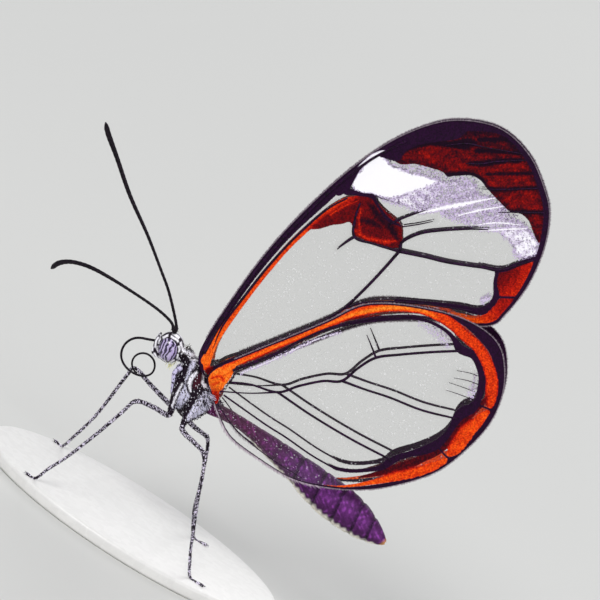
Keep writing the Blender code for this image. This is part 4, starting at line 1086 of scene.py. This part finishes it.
def trunk_colour(points):
    """Markings of head, trunk and hind body, worked out from where a point lies, with a painted highlight of
    violet sheen on the hind body.
    """
    x, y, z = points.T
    spots = points[:, [0, 2]]
    colour = np.tile(SKIN_DARK, (len(points), 1))
    ripple = np.sin(x * 31.0 + 7.0 * np.sin(z * 9.0)) * np.sin(z * 27.0 + 5.0 * np.sin(y * 11.0))

    def lay(depth, tint, blur=0.05):
        nonlocal colour
        cover = fade(depth, 2 * blur)[:, None]
        colour = colour * (1 - cover) + tint * cover

    rear = area(spots, FLANK_REAR)
    lilac = np.maximum(area(spots, FLANK_LILAC), rear)
    lay(lilac + 0.05 * ripple, SKIN_LILAC * 0.5 + SKIN_WHITE * 0.5)
    fibres = np.sin((x * 0.90 + z * 0.44) * 19.0 + 2.2 * np.sin(z * 4.0) + 1.5 * np.sin(x * 7.0))
    lay(np.minimum(lilac, (fibres * np.abs(ripple) ** 0.3 - 0.62) * 0.2), SKIN_DARK, 0.04)
    lay(np.minimum.reduce([rear, z - 10.3, -0.04 - ripple * 0.4]), SKIN_DARK)
    for line in FLANK_STROKES:
        lay(stroke(spots, line) + 0.02 * ripple, SKIN_WHITE)
    lay(stroke(spots, FLANK_MAROON), SKIN_MAROON)
    for line in FLANK_LINES:
        lay(stroke(spots, line), SKIN_DARK, 0.03)

    rings = eye_reach(points)
    head = np.minimum(5.0 - x, 0.4)
    around = np.arctan2(z - EYE_AT[2], x - EYE_AT[0])
    for inner, outer, count, turn in HEAD_RINGS:
        wander = rings + 0.03 * np.sin(around * 3.0 + turn * 2.0) + 0.04 * np.sin(around * count + turn)
        band = np.minimum(wander - inner, outer - wander) * 0.7
        broken = (np.cos(around * count + 1.2 * np.sin(around * 2.0 + turn) + turn) + 0.66) * 0.20
        lay(np.minimum.reduce([band + 0.01, broken, head]), SKIN_WHITE * 1.08, 0.025)
    lay(np.minimum.reduce([head, 0.10 - np.abs(y), z - 13.2]), SKIN_WHITE * 0.8, 0.04)

    tail = x - TAIL_START
    stations = np.array(ABDOMEN)
    axis = np.interp(x, stations[:, 0], stations[:, 1])
    height = (z - axis) / np.interp(x, stations[:, 0], stations[:, 2])
    lay(tail, SKIN_PURPLE, 0.25)
    lay(np.where(tail > 0, 15.0 - x, -9.0), SKIN_PLUM, 3.0)
    # Painted highlight: a violet and magenta sheen along the upper side of the hind body, stronger towards
    # the tail, and brighter spots among the crinkles, standing in for light
    crinkle = mottling(spots, 0.32)
    sheen = 0.30 * crinkle + 0.9 * hump(height, 0.25, 0.5) * np.clip((x - 9.0) / 11.0, 0.22, 1)
    tint = HIGHLIGHT_MAGENTA + (HIGHLIGHT_VIOLET - HIGHLIGHT_MAGENTA) * rise(x, 12.0, 5.0)[:, None]
    lay(np.minimum(tail, (sheen - 0.45) * 0.3), tint, 0.30)
    lay(np.minimum(tail, (crinkle - 1.0 + 0.5 * sheen) * 0.2), tint * 1.8, 0.10)
    belly = -0.74 - height + 0.06 * np.sin(x * 11.0)
    lay(np.minimum(np.minimum(x - 12.6, belly) * 0.6, 25.0 - x), SKIN_CREAM, 0.06)
    lay(x - 25.4 - 0.1 * height, SKIN_TIP, 0.12)
    return np.clip(colour, 0.002, 1.0)


def make_skin():
    """Head, trunk and hind body as one hide, with the grooves between the rings of the hind body, darkened by
    painted shade.
    """
    source = Shape()
    for centre, size, lean in (THORAX, COLLAR, SHOULDER, NECK, HEAD):
        source.add(*egg(centre, size, lean))
    for top, bottom, top_r, bottom_r in HIPS:
        for side in (-1, 1):
            ends = np.array([(x, -side * y, z) for x, y, z in (top, bottom)])
            line = ends[0] + np.linspace(0, 1, 12)[:, None] * (ends[1] - ends[0])
            bar(source, line, np.linspace(top_r, bottom_r, 12), 24)
    for side in (-1, 1):
        palp = smooth_path([(x, side * y, z) for x, y, z in PALP], 0.1)
        bar(source, palp, np.linspace(0.24, 0.12, len(palp)), 16)
    stations = smooth_line(ABDOMEN, 0.15)
    turn = np.linspace(0, 2 * np.pi, BODY_AROUND, endpoint=False)
    rings = np.array([[(x, math.sin(a) * w, z + math.cos(a) * h) for a in turn] for x, z, h, w in stations])
    first = tuple(reversed(range(BODY_AROUND)))
    last = tuple(range((len(stations) - 1) * BODY_AROUND, len(stations) * BODY_AROUND))
    source.add(rings.reshape(-1, 3), tube_faces(len(stations), BODY_AROUND) + [first, last])
    verts, faces, normals = remesh(source, VOXEL, 6)
    x, y, z = verts.T
    groove = np.zeros(len(verts))
    for place in SEGMENTS:
        dent = x - place + 0.12 * np.sin((z - 9.5) * 1.2)
        groove += np.where(dent < 0, hump(dent, 0.0, 0.28), hump(dent, 0.0, 0.06)) * GROOVE_DEPTH
    folds = mottling(np.column_stack([x + 0.4 * np.abs(y), z * 0.6]), 0.55)
    groove += FOLD_DEPTH * hump(folds, 0.0, 0.10) * rise(x, 16.0, 4.0)
    groove *= np.clip((x - 10.0) / 8.0, 0.35, 1.0) * (x > 10.0)
    # Painted shade: the hide's colour darkens in the grooves and folds, by how deep they are
    colour = trunk_colour(verts) * (1.0 - 9.5 * groove)[:, None].clip(0.22, 1.0)
    verts = verts - normals * groove[:, None]
    skin = Shape()
    skin.add(verts, faces, paint=colour)
    skin.build("skin", HIDE, ["head", "thorax", "abdomen"])
    return verts, normals


def make_coat(verts, normals):
    """Short hair that lies back along the body, longer on the nape, the breast and the wing roots."""
    shape = Shape()
    on_head = verts[:, 0] < HEAD_END
    eyed = (eye_reach(verts) < 1.05) & (np.abs(verts[:, 1]) > 0.55) & on_head
    weight = np.where(verts[:, 0] < 9.6, 1.0, 0.30)
    weight = np.where(on_head, 0.12, weight)
    weight = np.where(eyed, 0.0, weight)
    picks = chance.choice(len(verts), COAT_HAIRS, replace=False, p=weight / weight.sum())
    # Each hair takes the hide's colour at its root, painted highlight included
    for i, colour in zip(picks, trunk_colour(verts[picks])):
        root = verts[i]
        out = normals[i]
        back = np.array([0.75, 0.0, -0.65]) if root[0] < WAIST else np.array([1.0, 0.0, -0.05])
        along = unit(back - out * (back @ out) + chance.normal(0, 0.25, 3)) + out * 0.18
        length = chance.uniform(0.10, 0.20) if root[0] > HEAD_END else chance.uniform(0.06, 0.12)
        tint = colour * chance.uniform(0.7, 1.1)
        odd = chance.random() if 4.9 < root[0] < WAIST and root[2] > 8.9 else 1.0
        if odd < 0.20:
            tint = SKIN_WHITE * chance.uniform(0.7, 1.0)
        elif odd < 0.42:
            tint = SKIN_DARK
        if 4.5 < root[0] < 5.4 and root[2] > 12.9:
            length = chance.uniform(0.12, 0.26)
            along = along + out * 0.3
            tint = tint * 0.7 + SKIN_BROWN * chance.uniform(0.0, 0.7)
        if root[0] > WAIST:
            length *= 0.8
            if chance.random() < 0.34 - 0.03 * (root[0] - WAIST):
                tint = SKIN_PINK * chance.uniform(0.7, 1.9)
        spot = (math.atan2(root[1], root[2] - COAT_AXIS) / 6.2832 + 0.5, (root[0] - COAT_FRONT) / COAT_LENGTH)
        blade(shape, root - out * 0.01, along, out, length, 0.06 if odd < 1.0 else 0.045, patch=spot,
              paint=tint[None, :])
    make_tufts(shape)
    shape.build("coat", HAIR)


def make_tufts(shape):
    """Loose tufts: under the face, behind the head and at the roots of the wings."""
    for spot, aim, length, count, tint in TUFTS:
        for side in (-1, 1):
            for _ in range(count):
                root = np.array(spot) * (1, side, 1) + chance.normal(0, 0.12, 3)
                along = np.array(aim) * (1, side, 1) + chance.normal(0, 0.28, 3)
                long = length * chance.uniform(0.6, 1.1)
                paint = np.array(tint) * chance.uniform(0.5, 1.2)
                patch = (0.5 + 0.3 * side, root[0] / 40.0)
                blade(shape, root, along, (0, side, 0.2), long, 0.04, patch=patch, paint=paint[None, :])


def outward(side, across):
    """A random direction straight out from a limb."""
    turn = chance.uniform(0, 2 * math.pi)
    return side * math.cos(turn) + across * math.sin(turn)


def make_limb(name, points):
    """Thigh, shin and foot of one limb: thin, a little thicker at the joints, with a pair of claws."""
    line = smooth_path(points, 0.12)
    part = np.linspace(0, 1, len(line))
    thick = np.interp(part, *np.transpose(LIMB_RADII)) + np.sin(part * 46.0) * 0.008 * (part > 0.66)
    line[:, 2] -= rise(line[:, 2], 0.9, -0.68) * (SOLID_RADIUS - thick + SOLE_DROP)
    shape = Shape()
    bar(shape, line, thick, 12)
    along, side, across = frames_along(line)
    for i in range(4, len(line) - 4):
        for _ in range(5):
            out = outward(side[i], across[i])
            if line[i][2] + out[2] * thick[i] < 0.05:
                continue
            aim = along[i] + out * chance.uniform(0.15, 0.5)
            blade(shape, line[i] + out * thick[i] * 0.97, aim, out, chance.uniform(0.08, 0.16), 0.035)
    for turn in (-1, 1):
        tip = line[-1]
        hook = smooth_path((tip, tip + along[-1] * 0.12 + side[-1] * 0.05 * turn + np.array([0, 0, 0.03]),
                            tip + along[-1] * 0.20 + side[-1] * 0.07 * turn - np.array([0, 0, 0.02])), 0.05)
        bar(shape, hook, np.linspace(0.035, 0.008, len(hook)), 6)
    shape.build(name + "_skin", LIMB, [name])


def make_foreleg(name, side):
    """A short limb folded close against the breast, with a thick coat of hair."""
    line = smooth_path([(x, side * y, z) for x, y, z in FORELEG], 0.1)
    shape = Shape()
    bar(shape, line, np.linspace(0.20, 0.12, len(line)), 12)
    along, sides, across = frames_along(line)
    for i in range(2, len(line) - 1):
        for _ in range(10):
            out = outward(sides[i], across[i])
            blade(shape, line[i] + out * 0.15, along[i] + out * 0.25, out, chance.uniform(0.10, 0.2), 0.04)
    shape.build(name + "_skin", BREAST_LIMB, [name])


def make_antenna(name, points):
    """A thin rod of many short rings that swells into a slim club."""
    line = smooth_path(points, 0.09)
    part = np.linspace(0, 1, len(line))
    swell = rise(part, 0.30, 0.50)
    radius = FEELER_RADIUS + FEELER_SWELL * swell * swell * (3.0 - 2.0 * swell)
    radius += FEELER_CLUB * hump(part, 0.93, 0.07) + FEELER_FOOT * hump(part, 0.0, 0.02)
    radius += FEELER_RINGS * np.sin(part * len(line) * 1.3)
    tip = 1.0 - rise(part, 0.965, 0.035) ** 2 * 0.75
    shape = Shape()
    bar(shape, line, radius * tip, 12)
    shape.build(name + "_skin", FEELER, [name])


def make_tongue():
    """A dark tube that leaves the face, hangs in one wide turn and runs on into a smaller one beside it."""
    points = list(TONGUE_ROOT)
    for degrees in range(COIL_START, COIL_END + 1, 15):
        angle = math.radians(degrees)
        part = min(1.0, max(0.0, (degrees - 220.0) / 150.0))
        part = part * part * (3.0 - 2.0 * part)
        x, z, radius = (big + part * (small - big) for big, small in zip(COIL_BIG, COIL_SMALL))
        drift = COIL_DRIFT * (degrees - COIL_START) / (COIL_END - COIL_START)
        points.append((x + radius * math.cos(angle), drift, z + radius * math.sin(angle)))
    line = smooth_path(points, 0.07)
    width = np.linspace(0.095, 0.07, len(line))
    shape = Shape()
    for turn in (-1, 1):
        bar(shape, line + np.array([0, 0.035 * turn, 0]), width, 8)
    shape.build("proboscis_skin", FEELER, ["proboscis"])


def make_eye(name, side):
    """A smooth ball that stands out of the side of the head."""
    shape = Shape()
    shape.add(*egg((EYE_AT[0], side * EYE_AT[1], EYE_AT[2]), EYE_SIZE, EYE_LEAN, 64, 48))
    shape.build(name + "_ball", EYE, [name])


def make_base():
    """A thin oval plate with rounded rims; its top meets the soles."""
    half = ((base_high.x - base_low.x) / 2 / MM, (base_high.y - base_low.y) / 2 / MM)
    bottom = (base_low.z - sole) / MM
    top = -SOLE_DROP
    turns = np.linspace(0, np.pi / 2, 7)
    profile = [(BASE_RIM * (1 - math.sin(t)), bottom + BASE_RIM * (1 - math.cos(t))) for t in turns]
    profile += [(BASE_RIM * (1 - math.cos(t)), top - BASE_RIM * (1 - math.sin(t))) for t in turns]
    verts = []
    for inset, z in profile:
        for k in range(BASE_AROUND):
            a = 2 * math.pi * k / BASE_AROUND
            verts.append((BASE_C[0] + (half[0] - inset) * math.cos(a),
                          BASE_C[1] + (half[1] - inset) * math.sin(a), z))
    under = tuple(reversed(range(BASE_AROUND)))
    over = tuple(range((len(profile) - 1) * BASE_AROUND, len(profile) * BASE_AROUND))
    shape = Shape()
    shape.add(verts, tube_faces(len(profile), BASE_AROUND) + [under, over])
    shape.build("stand_base_plate", PLATE, ["stand_base"])


def make_room():
    """A pale floor and soft studio light."""
    half = FLOOR_HALF
    mesh = bpy.data.meshes.new("floor")
    mesh.from_pydata([(-half, -half, 0), (half, -half, 0), (half, half, 0), (-half, half, 0)], [],
                     [(0, 1, 2, 3)])
    made, _, shader = new_material("pale floor", 0.7, 0.2)
    shader.inputs["Base Color"].default_value = FLOOR_GREY
    mesh.materials.append(made)
    floor = bpy.data.objects.new("floor", mesh)
    bpy.context.scene.collection.objects.link(floor)
    aim = HOME + np.array(CAMERA_AIM) * MM
    for name, shift, size, power in LIGHTS:
        data = bpy.data.lights.new(name, "AREA")
        data.size = size
        data.energy = power
        lamp = bpy.data.objects.new(name, data)
        lamp.location = Vector(aim) + Vector(shift)
        lamp.rotation_euler = Vector(shift).to_track_quat("Z", "Y").to_euler()
        bpy.context.scene.collection.objects.link(lamp)
    world = bpy.data.worlds.new("studio")
    world.use_nodes = True
    sky = world.node_tree.nodes["Background"]
    sky.inputs["Color"].default_value = SKY_COLOUR
    sky.inputs["Strength"].default_value = SKY_STRENGTH
    bpy.context.scene.world = world
    bpy.context.scene.view_settings.view_transform = "Standard"


def make_camera():
    """The camera of the photograph: far off, looking down a little, and leaning over."""
    data = bpy.data.cameras.new("camera")
    data.lens = data.sensor_width * CAMERA_REACH / FRAME_WIDTH
    data.clip_start = 0.01
    back = Vector((0.0, -math.cos(CAMERA_DOWN), math.sin(CAMERA_DOWN)))
    rise_way = Vector((0.0, math.sin(CAMERA_DOWN), math.cos(CAMERA_DOWN)))
    level = Vector((1.0, 0.0, 0.0))
    right = level * math.cos(CAMERA_LEAN) + rise_way * math.sin(CAMERA_LEAN)
    up = rise_way * math.cos(CAMERA_LEAN) - level * math.sin(CAMERA_LEAN)
    camera = bpy.data.objects.new("camera", data)
    turn = Matrix((right, up, back)).transposed()
    spot = Vector(HOME + np.array(CAMERA_AIM) * MM) + back * CAMERA_REACH * MM
    camera.matrix_world = Matrix.Translation(spot) @ turn.to_4x4()
    bpy.context.scene.collection.objects.link(camera)
    bpy.context.scene.camera = camera


WING = wing_material()
VEIN = plain_scaled("dark vein", BLACK, PURPLE_BLACK, 0.07, 0.5, 0.12)
HAIR = painted_scaled("short hair", 0.05, 0.6, 0.12, 0.004, 0.3)
HIDE = painted_scaled("scaled hide", 0.10, 0.5, 0.15, 0.02, 0.5)
LIMB = plain_scaled("speckled limb", LIMB_DARK, LIMB_PALE, 0.080, 0.5, 0.2, low=0.60, high=0.65)
BREAST_LIMB = plain_scaled("lilac fore limb", BREAST_DARK, BREAST_PALE, 0.10, 0.5, 0.2, low=0.36, high=0.46)
FEELER = plain_scaled("black feeler", FEELER_BLACK, FEELER_DUSK, 0.08, 0.45, 0.12, depth=0.006)
EYE = eye_material()
PLATE = plain_scaled("pale plate", PLATE_GREY, PLATE_PALE, 0.5, 0.38, low=0.2, high=0.8, depth=0.002)

make_wing("fore", FORE_EDGE, FORE_VEINS, fore_gap, FORE_SHEET, fore_marks,
          BAND_RAYS + MARGIN_STREAKS + CELL_LINES + (CELL_EDGE, TORNUS_GAP, COSTAL_WHITE))
make_wing("hind", HIND_EDGE, HIND_VEINS, hind_gap, HIND_SHEET, hind_marks, (HIND_PALE,) + HIND_GAPS)
make_coat(*make_skin())
for name, points in (("midleg_left", MIDLEG_LEFT), ("midleg_right", MIDLEG_RIGHT),
                     ("hindleg_left", HINDLEG_LEFT), ("hindleg_right", HINDLEG_RIGHT)):
    make_limb(name, points)
for word, side in SIDES:
    make_foreleg("foreleg_" + word, side)
make_antenna("antenna_left", ANTENNA_LEFT)
make_antenna("antenna_right", ANTENNA_RIGHT)
make_tongue()
for word, side in SIDES:
    make_eye("eye_" + word, side)
make_base()
make_room()
make_camera()
